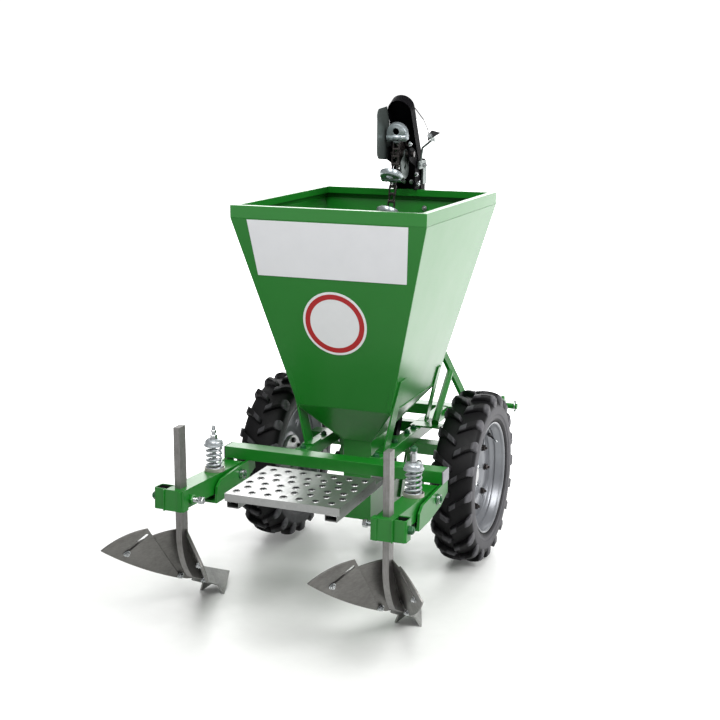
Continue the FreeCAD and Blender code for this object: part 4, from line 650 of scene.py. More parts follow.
class Shape:
    """A mesh in the making; `mesh`, `piece` and `element` use it up."""

    def __init__(self) -> None:
        """Start empty."""
        self.work = bmesh.new()

    def loft(self, rings: Iterable[Iterable[Sequence[float]]],
             ends: Ends = Ends.CAPPED) -> "Shape":
        """Join closed rings of points in order by strips of faces.

        Args:
            rings: rings of equally many points, in metres.
            ends: what becomes of the first and the last ring.

        Returns:
            This shape.
        """
        rows = [[self.work.verts.new(point) for point in ring] for ring in rings]
        follow = rows[1:] + (rows[:1] if ends is Ends.JOINED else [])
        for first, second in zip(rows, follow):
            for i in range(len(first)):
                j = (i + 1) % len(first)
                self.work.faces.new((first[i], first[j], second[j], second[i]))
        if ends is Ends.CAPPED:
            self.work.faces.new(rows[0])
            self.work.faces.new(list(reversed(rows[-1])))
        return self

    def turned(self, profile: Profile, centre: Vector, axis: Vector = RIGHT,
               steps: int = 96) -> "Shape":
        """Turn a closed (along, radius) profile in millimetres about an axis.

        Args:
            profile: the profile's ring of points.
            centre: a point on the axis, in metres.
            axis: direction of the axis.
            steps: faces around.

        Returns:
            This shape.
        """
        across = axis.orthogonal().normalized()
        outs = [Matrix.Rotation(angle, 3, axis) @ across for angle in around(steps)]
        return self.loft(([centre + axis * a * MM + out * r * MM for a, r in profile]
                          for out in outs), Ends.JOINED)

    def sweep(self, path: Sequence[Vector], radius: float, sides: int = 12,
              ends: Ends = Ends.CAPPED) -> "Shape":
        """Run a round wire along a path.

        Args:
            path: the wire's middle line, in metres.
            radius: the wire's radius, in millimetres.
            sides: faces around the wire.
            ends: whether it is capped or returns to its start.

        Returns:
            This shape.
        """
        outside = (path[-1], path[0]) if ends is Ends.JOINED else (path[0], path[-1])
        line = [outside[0], *path, outside[1]]
        across = (path[1] - path[0]).normalized().orthogonal().normalized()
        rings = []
        for before, point, after in zip(line, line[1:], line[2:]):
            tangent = (after - before).normalized()
            across = (across - tangent * across.dot(tangent)).normalized()
            side = tangent.cross(across)
            rings.append([point + (across * c + side * s) * radius * MM
                          for c, s in circle(1.0, sides)])
        return self.loft(rings, ends)

    def slab(self, outline: Sequence[Vector], depth: Vector) -> "Shape":
        """Add a prism: a flat outline pushed along a vector."""
        return self.loft([outline, [point + depth for point in outline]])

    def box(self, first: Vector, second: Vector) -> "Shape":
        """Add a box between two opposite corners.

        Args:
            first: one corner, in metres.
            second: the corner opposite.

        Returns:
            This shape.
        """
        low, high = (Vector(map(pick, first, second)) for pick in (min, max))
        outline = [Vector((x, y, low.z)) for x, y in (
            (low.x, low.y), (high.x, low.y), (high.x, high.y), (low.x, high.y))]
        return self.slab(outline, UP * (high.z - low.z))

    def moved(self, by: Matrix) -> "Shape":
        """Move what has been added so far."""
        bmesh.ops.transform(self.work, matrix=by, verts=self.work.verts)
        return self

    def mesh(self, name: str) -> bpy.types.Mesh:
        """Make the mesh, with its faces outward.

        Args:
            name: the mesh's name.

        Returns:
            The mesh.
        """
        bmesh.ops.remove_doubles(self.work, verts=self.work.verts, dist=1e-6)
        bmesh.ops.recalc_face_normals(self.work, faces=self.work.faces)
        made = bpy.data.meshes.new(name)
        self.work.to_mesh(made)
        self.work.free()
        return made

    def plain(self, name: str, finish: Finish, width: float = 0.0) -> bpy.types.Object:
        """Make the object with its finish and eased edges, but on no body yet.

        Args:
            name: the object's name.
            finish: its finish.
            width: how wide its edges are eased, in millimetres.

        Returns:
            The object.
        """
        mesh = self.mesh(name)
        mesh.materials.append(finish.material())
        made = link(name, mesh)
        ease(made, width)
        return made

    def piece(self, name: str, finish: Finish, body: str = "frame", width: float = 0.0,
              hides: Sequence[str] = ()) -> bpy.types.Object:
        """Make the finished piece.

        Args:
            name: the piece's name.
            finish: its finish.
            body: the body it rides on.
            width: how wide its edges are eased, in millimetres.
            hides: the CAD nodes that it stands for.

        Returns:
            The piece.
        """
        return dress(self.plain(name, finish, width), finish, body, hides)


# ------------------------------------------------------------------ repeats by geometry nodes
ELEMENT = {"Element": ("Object", None)}


def repeat_tree(name: str, inputs: dict[str, tuple[str, object]],
                build: Callable[[Tree, Given], Socket]) -> bpy.types.NodeTree:
    """Make a geometry tree that ends in Realize Instances and Set Material.

    Args:
        name: the tree's name.
        inputs: its own inputs, each with its type word and default.
        build: lays the nodes from the tree's inputs and returns the instances.

    Returns:
        The node tree, with Geometry and Material as its other inputs.
    """
    def closed(tree: Tree, given: Given) -> Socket:
        """Make the instances real and give them their finish.

        Args:
            tree: the tree to add to.
            given: the tree's inputs.

        Returns:
            The finished geometry.
        """
        real = tree.out("GeometryNodeRealizeInstances", {0: build(tree, given)})
        return tree.out("GeometryNodeSetMaterial", {"Geometry": real,
                                                    "Material": given["Material"]})

    return node_group(name, "Geometry", {
        "Geometry": ("Geometry", None), "Material": ("Material", None), **inputs},
        "Geometry", closed)


def element_of(tree: Tree, given: Given) -> Socket:
    """Mesh of the element that a tree repeats."""
    return tree.out("GeometryNodeObjectInfo", {"Object": given["Element"]}, "Geometry")


def on_points(tree: Tree, points: Socket, instance: Socket) -> Socket:
    """Put an instance on each point, turned by the point's axis and spin.

    Args:
        tree: the tree to add to.
        points: where the copies go.
        instance: what is copied.

    Returns:
        The instances.
    """
    axis, spin = (tree.out("GeometryNodeInputNamedAttribute", {"Name": title}, "Attribute",
                           data_type=kind)
                  for title, kind in (("axis", "FLOAT_VECTOR"), ("spin", "FLOAT")))
    turn = tree.out("FunctionNodeAlignRotationToVector", {"Vector": axis}, axis="Z")
    twist = tree.out("FunctionNodeEulerToRotation", {
        0: tree.out("ShaderNodeCombineXYZ", {"Z": spin})})
    both = tree.out("FunctionNodeRotateRotation", {0: turn, 1: twist}, rotation_space="LOCAL")
    return tree.out("GeometryNodeInstanceOnPoints", {
        "Points": points, "Instance": instance, "Rotation": both})


def points_tree() -> bpy.types.NodeTree:
    """Tree that copies one element to points.

    Returns:
        The node tree.
    """
    def build(tree: Tree, given: Given) -> Socket:
        """Set the element on the seed's points."""
        return on_points(tree, given["Geometry"], element_of(tree, given))

    return repeat_tree("copies_on_points", ELEMENT, build)


def ring_tree() -> bpy.types.NodeTree:
    """Tree that copies one element round the X direction, then moves the ring to its centre.

    Returns:
        The node tree.
    """
    def build(tree: Tree, given: Given) -> Socket:
        """Turn each copy by its share of the full turn.

        Args:
            tree: the tree to add to.
            given: the tree's inputs.

        Returns:
            The instances.
        """
        row = tree.out("GeometryNodeMeshLine", {"Count": given["Count"], "Offset": (0, 0, 0)})
        step = tree.math("DIVIDE", FULL_TURN, given["Count"])
        index = tree.out("GeometryNodeInputIndex")
        angle = tree.plus(tree.times(index, step), given["Start"])
        turn = tree.out("FunctionNodeEulerToRotation", {
            0: tree.out("ShaderNodeCombineXYZ", {"X": angle})})
        copies = tree.out("GeometryNodeInstanceOnPoints", {
            "Points": row, "Instance": element_of(tree, given), "Rotation": turn})
        return tree.out("GeometryNodeTransform", {"Geometry": copies,
                                                  "Translation": given["Centre"]})

    return repeat_tree("copies_in_a_ring", {
        **ELEMENT, "Count": ("Int", 20), "Start": ("Float", 0.0),
        "Centre": ("Vector", (0.0, 0.0, 0.0))}, build)


def path_tree() -> bpy.types.NodeTree:
    """Tree that sets one element along a path, its Y direction following the path.

    Returns:
        The node tree.
    """
    def build(tree: Tree, given: Given) -> Socket:
        """Space the copies by the pitch.

        Args:
            tree: the tree to add to.
            given: the tree's inputs.

        Returns:
            The instances.
        """
        curve = tree.out("GeometryNodeMeshToCurve", {0: given["Geometry"]})
        spaced = tree.node("GeometryNodeCurveToPoints", {"Curve": curve, "Length": given["Pitch"]},
                           mode="LENGTH").outputs
        turn = tree.out("FunctionNodeAlignRotationToVector", {"Vector": spaced["Tangent"]},
                        axis="Y")
        return tree.out("GeometryNodeInstanceOnPoints", {
            "Points": spaced["Points"], "Instance": element_of(tree, given), "Rotation": turn})

    return repeat_tree("copies_along_a_path", {**ELEMENT, "Pitch": ("Float", 0.02)}, build)


def bolt_tree() -> bpy.types.NodeTree:
    """Tree that sets hexagon bolts on points: washer, head with its chamfer, and thread end.

    Returns:
        The node tree.
    """
    def build(tree: Tree, given: Given) -> Socket:
        """Stack four stubs along Z and set them on the seed's points.

        Args:
            tree: the tree to add to.
            given: the tree's inputs.

        Returns:
            The instances.
        """
        corner, flat = (tree.times(given["Across"], share) for share in (0.577, 0.47))
        wide, washer = given["Washer radius"], given["Washer thickness"]
        thread = given["Thread radius"]
        neck = tree.plus(washer, tree.times(given["Height"], 0.8))
        top = tree.plus(washer, given["Height"])
        end = tree.plus(top, given["Thread length"])
        join = tree.node("GeometryNodeJoinGeometry")
        for sides, low, high, bottom, crown in (
                (28, 0.0, washer, wide, wide), (6, washer, neck, corner, corner),
                (6, neck, top, corner, flat), (16, top, end, thread, tree.times(thread, 0.8))):
            cone = tree.out("GeometryNodeMeshCone", {
                "Vertices": sides, "Radius Top": crown, "Radius Bottom": bottom,
                "Depth": tree.math("SUBTRACT", high, low)})
            lift = tree.out("ShaderNodeCombineXYZ", {"Z": low})
            moved = tree.out("GeometryNodeTransform", {"Geometry": cone, "Translation": lift})
            tree.tree.links.new(moved, join.inputs[0])
        return on_points(tree, given["Geometry"], join.outputs[0])

    return repeat_tree("hexagon_bolts", {
        "Across": ("Float", 0.017), "Height": ("Float", 0.007),
        "Washer radius": ("Float", 0.0105), "Washer thickness": ("Float", 0.0018),
        "Thread radius": ("Float", 0.005), "Thread length": ("Float", 0.003)}, build)


def seed_points(name: str, places: Sequence[Vector], axes: Sequence[Vector] = (),
                spins: Sequence[float] = ()) -> bpy.types.Mesh:
    """Make a mesh of loose points with the attributes that the point trees read.

    Args:
        name: the mesh's name.
        places: the points.
        axes: direction that each copy's Z axis takes, or none for upright copies.
        spins: turn of each copy about its own axis, in radians.

    Returns:
        The mesh.
    """
    mesh = bpy.data.meshes.new(name)
    mesh.from_pydata(places, [], [])
    count = len(places)
    axis = mesh.attributes.new("axis", "FLOAT_VECTOR", "POINT")
    axis.data.foreach_set("vector", [c for a in axes or [UP] * count for c in a])
    spin = mesh.attributes.new("spin", "FLOAT", "POINT")
    spin.data.foreach_set("value", spins or [0.0] * count)
    return mesh


def grow(tree: bpy.types.NodeTree, seed: bpy.types.Mesh, finish: Finish, body: str = "frame",
         hides: Sequence[str] = (), angle: float = 35.0, **sizes: object) -> bpy.types.Object:
    """Run a repeat tree on a seed mesh and keep the result as a plain mesh.

    Args:
        tree: the repeat tree.
        seed: the mesh that it starts from, which has the piece's name.
        finish: the piece's finish.
        body: the body it rides on.
        hides: the CAD nodes that it stands for.
        angle: edges flatter than this, in degrees, shade smooth.
        sizes: the tree's named inputs, with underscores for spaces.

    Returns:
        The finished piece.
    """
    made = link(seed.name, seed)
    modifier = made.modifiers.new("repeat", "NODES")
    modifier.node_group = tree
    given = {key.replace("_", " "): value for key, value in sizes.items()}
    given["Material"] = finish.material()
    for item in tree.interface.items_tree:
        if item.in_out == "INPUT" and item.name in given:
            modifier[item.identifier] = given[item.name]
    bake(made)
    shade(made, angle)
    return dress(made, finish, body, hides)


def repeat(shape: Shape, width: float, tree: bpy.types.NodeTree, seed: bpy.types.Mesh,
           finish: Finish, body: str = "frame", **others: object) -> bpy.types.Object:
    """Grow a piece from copies of one shape, which is removed afterwards.

    Args:
        shape: the element.
        width: how wide its edges are eased, in millimetres; 0 leaves it as it is.
        tree: the repeat tree.
        seed: the mesh that the tree starts from, which has the piece's name.
        finish: the piece's finish.
        body: the body it rides on.
        others: what else `grow` takes.

    Returns:
        The finished piece.
    """
    mesh = shape.mesh(seed.name + "_element")
    element = link(mesh.name, mesh)
    if width:
        ease(element, width, segments=1)
    made = grow(tree, seed, finish, body, Element=element, **others)
    mesh = element.data
    bpy.data.objects.remove(element)
    bpy.data.meshes.remove(mesh)
    return made


@dataclass
class Bolts:
    """A set of hexagon bolts of one finish on one body; sizes are in millimetres."""

    name: str
    finish: Finish = ZINC
    body: str = "frame"
    across: float = 17.0
    height: float = 7.0
    washer: float = 10.5
    thread: float = 4.0
    places: list[Vector] = field(default_factory=list)
    axes: list[Vector] = field(default_factory=list)

    FIRST_SPIN: ClassVar[float] = 0.35
    NEXT_SPIN: ClassVar[float] = 1.3
    THREAD_SHARE: ClassVar[float] = 0.29

    def add(self, place: Vector, axis: Sequence[float]) -> "Bolts":
        """Set one bolt on a surface point, its head along an axis.

        Args:
            place: the point, in metres.
            axis: the way its head points.

        Returns:
            This set.
        """
        self.places.append(place)
        self.axes.append(Vector(axis).normalized())
        return self

    def build(self) -> bpy.types.Object:
        """Make the whole set as one piece.

        Returns:
            The piece.
        """
        spins = [self.FIRST_SPIN + self.NEXT_SPIN * k for k in range(len(self.places))]
        return grow(bolt_tree(), seed_points(self.name, self.places, self.axes, spins),
                    self.finish, self.body, Across=self.across * MM, Height=self.height * MM,
                    Washer_radius=self.washer * MM, Thread_length=self.thread * MM,
                    Thread_radius=self.across * self.THREAD_SHARE * MM)


def weld(name: str, runs: Sequence[Sequence[Vector]], radius: float = 2.6) -> None:
    """Lay rippled weld beads on the frame along straight runs.

    Args:
        name: the piece's name.
        runs: ends of each run.
        radius: half width of the bead, in millimetres.
    """
    places, axes = [], []
    for start, end in runs:
        count = max(2, round((end - start).length / (radius * 1.1 * MM)))
        places += [start.lerp(end, (k + 0.5) / count) for k in range(count)]
        axes += [(end - start).normalized()] * count
    ripple = Shape()
    bmesh.ops.create_uvsphere(ripple.work, u_segments=8, v_segments=5, radius=radius * MM)
    repeat(ripple, 0, points_tree(), seed_points(name, places, axes), PAINT, angle=80.0)


@dataclass
class Sided:
    """A sub-assembly that is on both sides of the machine."""

    side: Side

    RIDES: ClassVar[str] = "ridger"

    def named(self, word: str) -> str:
        """Name of a piece, node or body on this side."""
        return f"{self.side.name.lower()}_{word}"

    def spot(self, x: float, y: float, z: float) -> Vector:
        """Point in metres from millimetres, with X counted outwards on this side."""
        return spot(self.side.value * x, y, z)

    @property
    def out(self) -> Vector:
        """Direction outwards on this side."""
        return RIGHT * self.side.value

    @property
    def body(self) -> str:
        """Body that the pieces ride on."""
        return self.named(self.RIDES)


# ------------------------------------------------------------------ wheels
@dataclass
class Wheel(Sided):
    """One farm wheel: carcass, lugs, rim, hub, nuts and valve."""

    radius: float = 295.0
    plane_x: float = 352.5
    steps: int = 120
    lugs: int = 20                      # on each half of the tread
    lug_start: float = 0.11
    lug_top: float = 8.6                # half a lug's width at its top
    lug_foot: float = 11.5              # half a lug's width where it leaves the carcass
    lug_rake: float = 1.6               # how much wider a lug's flank is halfway down
    lug_hook: float = 9.0               # how far a lug's outer end reaches back under itself
    disc_radius: float = 160.6          # what of the rim lies outside this is the barrel
    nut_circle: float = 111.0
    hub_circle: float = 52.0
    valve_angle: float = 46.0
    valve_seat: tuple[float, float] = (24.0, 163.0)

    RIDES: ClassVar[str] = "wheel"
    # (across, radius) of the carcass's outer right half, from the bead to the crown
    SKIN: ClassVar[Profile] = (
        (56.7, 187.6), (57.6, 193.4), (61.6, 196.2), (65.4, 203.5), (67.0, 204.4), (67.4, 208.5),
        (68.8, 216), (69.2, 216.6), (69.9, 222), (70.2, 232), (69.6, 243), (67.8, 252),
        (64.2, 259.6), (58, 265.8), (47, 270), (34, 273.2), (18, 275.4), (0, 276.0))
    LINING: ClassVar[Profile] = (
        (0, 266), (30, 263), (48, 258), (57, 248), (60, 238), (60, 226), (56, 212), (50, 203),
        (44, 196), (43, 187.6))
    # (across, radius) of the barrel's right half: its tyre side outwards, its open side inwards
    BARREL: ClassVar[Profile] = (
        (0, 165.4), (15, 165.6), (18.6, 167.6), (25.5, 185.4), (29, 187.2), (55.6, 187.2),
        (57.2, 190.4), (59.2, 191.8), (61.0, 191.2))
    BARREL_UNDER: ClassVar[Profile] = (
        (61.4, 189.2), (60.4, 186.6), (58.0, 184.4), (55.0, 183.4), (48.0, 182.6), (45.6, 179.6),
        (36.0, 178.6), (33.6, 175.6), (29.6, 175.0), (27.0, 177.4), (23.6, 176.6), (16.6, 163.4),
        (14.0, 161.2), (0, 161.0))
    # across, arc length round the tyre, top radius, foot radius, width share along one lug
    LUG: ClassVar[tuple] = (
        (-3.0, -2.0, 278.0, 270.0, 0.9), (5.0, 4.0, 293.6, 270.0, 0.95),
        (8.0, 6.0, 294.8, 270.0, 1.0), (26.0, 19.0, 294.6, 268.0, 1.0),
        (27.5, 20.1, 294.5, 267.6, 1.0), (42.0, 30.5, 292.8, 264.0, 1.05),
        (54.0, 38.5, 289.4, 257.0, 1.2), (62.5, 43.5, 284.5, 250.0, 1.5),
        (68.4, 46.5, 276.0, 246.0, 1.8), (70.3, 48.0, 263.0, 242.0, 1.75),
        (70.3, 49.0, 252.0, 238.0, 1.45), (69.4, 49.4, 246.0, 236.0, 1.1))

    def build(self) -> None:
        """Make every piece of the wheel."""
        self.carcass()
        self.tread()
        self.rim()
        self.fittings()
        self.valve()

    @property
    def centre(self) -> Vector:
        """Middle of the wheel, in metres."""
        return self.spot(self.plane_x, 0, self.radius)

    def carcass(self) -> None:
        """Turned tyre body with its sidewall rings."""
        profile = self.SKIN + mirrored(self.SKIN[:-1]) + mirrored(self.LINING) + self.LINING[1:]
        made = Shape().turned(profile, self.centre, steps=self.steps).piece(
            self.named("tyre_carcass"), RUBBER, self.body, hides=(self.named("tyre"),))
        made.data.set_sharp_from_angle(angle=math.radians(40))
        self.dust(made, self.wall_dust)

    def dust(self, made: bpy.types.Object, amount: Callable[[float, float], float]) -> None:
        """Mark where the rubber is dusty, and where a highlight is painted on it.

        Args:
            made: the piece to mark.
            amount: gives the dust and painted highlight at a distance across and a radius, in
                millimetres.
        """
        mask = made.data.attributes.new("dust", "FLOAT", "POINT")
        middle = self.centre
        for vertex, value in zip(made.data.vertices, mask.data):
            off = vertex.co - middle
            value.value = amount(abs(off.x) / MM, math.hypot(off.y, off.z) / MM)

    @staticmethod
    def wall_dust(across: float, radius: float) -> float:
        """Dust on the sidewalls, thinner on their raised rings.

        Args:
            across: distance from the wheel's middle plane, in millimetres.
            radius: distance from its axle.

        Returns:
            0 for clean to 1 for dusty.
        """
        if across <= 40 or not 203 < radius < 248:
            return 0.0
        return 0.5 if radius < 204.5 or 216.3 < radius < 217 else 0.85

    @staticmethod
    def lug_dust(across: float, radius: float) -> float:
        """Dust on each lug's outer end, and a painted highlight on the inner end of its top."""
        return 1.0 if across > 61 else 0.45 * (across < 27 and radius > 291)

    def lug(self, shape: Shape, hand: int, turn: float) -> None:
        """Add one lug, swept from the tread's middle out over the shoulder.

        Args:
            shape: the shape to add to.
            hand: 1 for the right half of the tread, -1 for the left.
            turn: how far round the tyre it is moved, in radians.
        """
        rings = []
        for across, arc, top, foot, share in self.LUG:
            inner = across - (self.lug_hook if across > 60 else 0.0)
            half = ((inner, foot, self.lug_foot),
                    (across, (top + foot) / 2 + 3, self.lug_top + self.lug_rake),
                    (across, top, self.lug_top))
            corners = [(x, r, -wide) for x, r, wide in half] + list(reversed(half))
            rings.append([
                (hand * x * MM, r * math.sin(angle) * MM, r * math.cos(angle) * MM)
                for x, r, angle in ((x, r, turn + (arc + wide * share) / self.radius)
                                    for x, r, wide in corners)])
        shape.loft(rings)

    def tread(self) -> None:
        """Two staggered rows of lugs, repeated round the tyre."""
        pair = Shape()
        self.lug(pair, 1, 0.0)
        self.lug(pair, -1, math.pi / self.lugs)
        made = repeat(pair, 1.0, ring_tree(), seed_points(self.named("tyre_lugs"), [Vector()]),
                      RUBBER, self.body, Count=self.lugs, Start=self.lug_start,
                      Centre=tuple(self.centre), hides=(self.named("tyre"),))
        # dust on the lugs' outer ends, painted highlight on the inner ends of their tops
        self.dust(made, self.lug_dust)

    def rim(self) -> None:
        """Turned barrel with its rolled lips, the pierced disc inside it, and the hub."""
        rim, middle = self.named("rim"), self.centre
        profile = (mirrored(self.BARREL[1:]) + self.BARREL + self.BARREL_UNDER
                   + mirrored(self.BARREL_UNDER[:-1]))
        made = Shape().turned(profile, middle, steps=self.steps).piece(
            self.named("rim_barrel"), RIM_SILVER, self.body, hides=(rim,))
        made.data.set_sharp_from_angle(angle=math.radians(50))
        disc = Shape()
        disc.work.from_mesh(frame["nodes"][rim].data)
        bmesh.ops.remove_doubles(disc.work, verts=disc.work.verts, dist=2e-6)
        outer = [face for face in disc.work.faces if all(
            math.hypot(v.co.y - middle.y, v.co.z - middle.z) > self.disc_radius * MM
            for v in face.verts)]
        bmesh.ops.delete(disc.work, geom=outer, context="FACES")
        disc.piece(self.named("rim_disc"), RIM_SILVER, self.body, 0.9, hides=(rim,))
        refine(self.named("hub"), 1.0)

    def fittings(self) -> None:
        """Nuts on the disc, and nuts and bolt heads on the hub's flange."""
        nuts = Bolts(self.named("disc_nuts"), CHAIN, self.body, 18.0, 10.0, 12.0, 7.0)
        for y, z in circle(self.nut_circle, 8):
            nuts.add(self.spot(self.plane_x + 9, y, self.radius + z), self.out)
        studs = Bolts(self.named("hub_nuts"), ZINC, self.body, 17.0, 10.0, 11.0, 7.0)
        heads = Bolts(self.named("hub_bolts"), IRON, self.body, 17.0, 9.0, 10.0, 0.5)
        for k in range(5):
            a = FULL_TURN * (k + 0.25) / 5
            y, z = self.hub_circle * math.cos(a), self.radius + self.hub_circle * math.sin(a)
            studs.add(self.spot(self.plane_x - 5, y, z), self.out)
            heads.add(self.spot(self.plane_x - 22, y, z), -self.out)
        for made in (nuts, studs, heads):
            made.build()

    def valve(self) -> None:
        """Valve in the barrel, leaning outwards, with its cap."""
        a = math.radians(self.valve_angle)
        out = Vector((0, math.cos(a), math.sin(a)))
        along, up = self.valve_seat
        base = self.centre + out * up * MM + self.out * along * MM
        lean = (self.out * 0.8 - out * 0.6).normalized()
        for word, finish, width, steps, profile in (
                ("valve_stem", IRON, 0.0, 16, ((-4, 0.01), (-4, 7), (3, 6.4), (6, 3.8), (30, 2.8),
                                               (30, 0.01))),
                ("valve_cap", ZINC, 0.4, 14, ((24, 0.01), (24, 4.2), (38, 3.9), (40, 2.6),
                                              (40, 0.01)))):
            Shape().turned(profile, base, lean, steps).piece(
                self.named(word), finish, self.body, width)


# ------------------------------------------------------------------ chassis and hitch
@dataclass
class Chassis:
    """Tube frame, axle hangers and bearings, with their welds and bolts."""

    top: float = 438.0
    tube: tuple[float, float] = (60.0, 40.0)        # width and height of the beams' tube
    rear_y: float = -409.0
    rear_face: float = -378.0           # front of the rear beam, where the rails meet it
    front_face: float = 339.0           # back of the front beam
    rail_x: float = 130.0
    rail_half: float = 20.0
    rail_bolts: tuple[float, ...] = (-183.0, -60.0, 6.0)
    rear_bolt: float = 47.0             # ahead of the rear beam's middle
    hangers: tuple[float, ...] = (-238.0, -125.0, 125.0, 238.0)
    hanger_half: float = 6.2
    bore: tuple[float, float] = (17.2, 18.2)        # in the CAD, and opened for turning facets
    axle_z: float = 295.0
    bearing_bolt: tuple[float, float] = (25.5, 378.0)       # from the axle's line, and height
    seal_x: tuple[float, float] = (378.2, 379.8)
    seal_out: float = 0.4               # how far the caps' seal stands out of the beam

    # node and width of its eased edges
    NODES: ClassVar[tuple] = (("rear_beam", 2.2), ("rails", 2.2), ("front_beam", 2.2),
                              ("cross_member", 2.2), ("axle_beam", 2.2), ("rear_beam_caps", 1.6))

    def build(self) -> None:
        """Dress every member of the frame."""
        for node, width in self.NODES:
            refine(node, width)
        for node in ("axle_hangers", "bearing_blocks"):
            self.open_bores(refine(node, 1.0))
        self.welds()
        self.bolts()
        self.seals()

    def open_bores(self, made: bpy.types.Object) -> None:
        """Give the stub axles' bores a little more room for the facets that turn in them.

        Args:
            made: the piece with the bores.
        """
        low, high = self.bore
        middle = spot(0, 0, self.axle_z)
        for vertex in made.data.vertices:
            off = vertex.co - middle
            radius = math.hypot(off.y, off.z)
            if low * MM < radius < high * MM:
                off.y, off.z = (v * high * MM / radius for v in (off.y, off.z))
                vertex.co = middle + off

    def welds(self) -> None:
        """Beads up both sides of each rail and across its top, where it meets the beams."""
        runs = []
        for sign in SIGNS:
            for y in (self.rear_face, self.front_face):
                for x in (self.rail_x - self.rail_half, self.rail_x + self.rail_half):
                    runs.append((spot(sign * x, y, self.top - self.tube[1] + 2),
                                 spot(sign * x, y, self.top - 2)))
                reach = self.rail_half - 2
                runs.append((spot(sign * (self.rail_x - reach), y, self.top + 0.5),
                             spot(sign * (self.rail_x + reach), y, self.top + 0.5)))
        weld("frame_welds", runs)

    def bolts(self) -> None:
        """Bolts on top of the rails and at the bearings."""
        dark = Bolts("frame_dark_bolts", BOLT_GREEN, across=18, height=9, washer=12)
        ends = [(sign, self.rear_y + self.rear_bolt) for sign in SIGNS]
        for sign, y in ends + [(sign, y) for sign in SIGNS for y in self.rail_bolts]:
            dark.add(spot(sign * self.rail_x, y, self.top), UP)
        bright = Bolts("frame_bright_bolts", washer=12)
        away, high = self.bearing_bolt
        for x in self.hangers:
            out = math.copysign(1, x)
            for sign in SIGNS:
                bright.add(spot(x + out * self.hanger_half, sign * away, high), RIGHT * out)
        dark.build()
        bright.build()

    def seals(self) -> None:
        """Dark edge between the rear beam's ends and their caps."""
        shape = Shape()
        (near, far), (width, height), out = self.seal_x, self.tube, self.seal_out
        for sign in SIGNS:
            shape.box(spot(sign * near, self.rear_y - width / 2 - out, self.top - height - out),
                      spot(sign * far, self.rear_y + width / 2 + out, self.top + out))
        shape.piece("beam_cap_seals", IRON)


@dataclass
class Hitch:
    """Three-point hitch: lower pins, mast and braces."""

    pin: tuple[float, float, float] = (384.5, 430.0, 440.0)     # middle of the linch pin's hole
    ring: float = 15.0
    wire: float = 1.6
    peg: tuple[float, float, float] = (4.4, -20.0, 22.0)        # radius, then its two ends
    plate_x: float = 196.0
    weld_x: float = 320.0
    face: float = 341.0                 # front of the front beam
    bolt_heights: tuple[float, float] = (408.0, 428.0)
    weld_heights: tuple[float, float] = (398.0, 436.0)

    def build(self) -> None:
        """Dress the hitch and add its linch pins and bolts."""
        for node in ("lower_hitch", "mast", "mast_braces"):
            refine(node, 1.2)
        self.linch_pins()
        bolts = Bolts("hitch_bolts", across=19, height=9, washer=13)
        for sign in SIGNS:
            for z in self.bolt_heights:
                bolts.add(spot(sign * self.plate_x, self.face - 1, z), -FORWARD)
        bolts.build()
        weld("hitch_welds", [[spot(sign * self.weld_x, self.face, z) for z in self.weld_heights]
                             for sign in SIGNS])

    def linch_pins(self) -> None:
        """Peg through each lower pin, with its spring ring."""
        shape = Shape()
        x, y, z = self.pin
        radius, low, high = self.peg
        for sign in SIGNS:
            loop = [spot(sign * x, *point) for point in circle(self.ring, 28, y, z + 2)]
            shape.sweep(loop, self.wire, 8, Ends.JOINED)
            shape.sweep([spot(sign * x, y, z + high), spot(sign * x, y, z + low)], radius)
        shape.piece("linch_pins", ZINC)


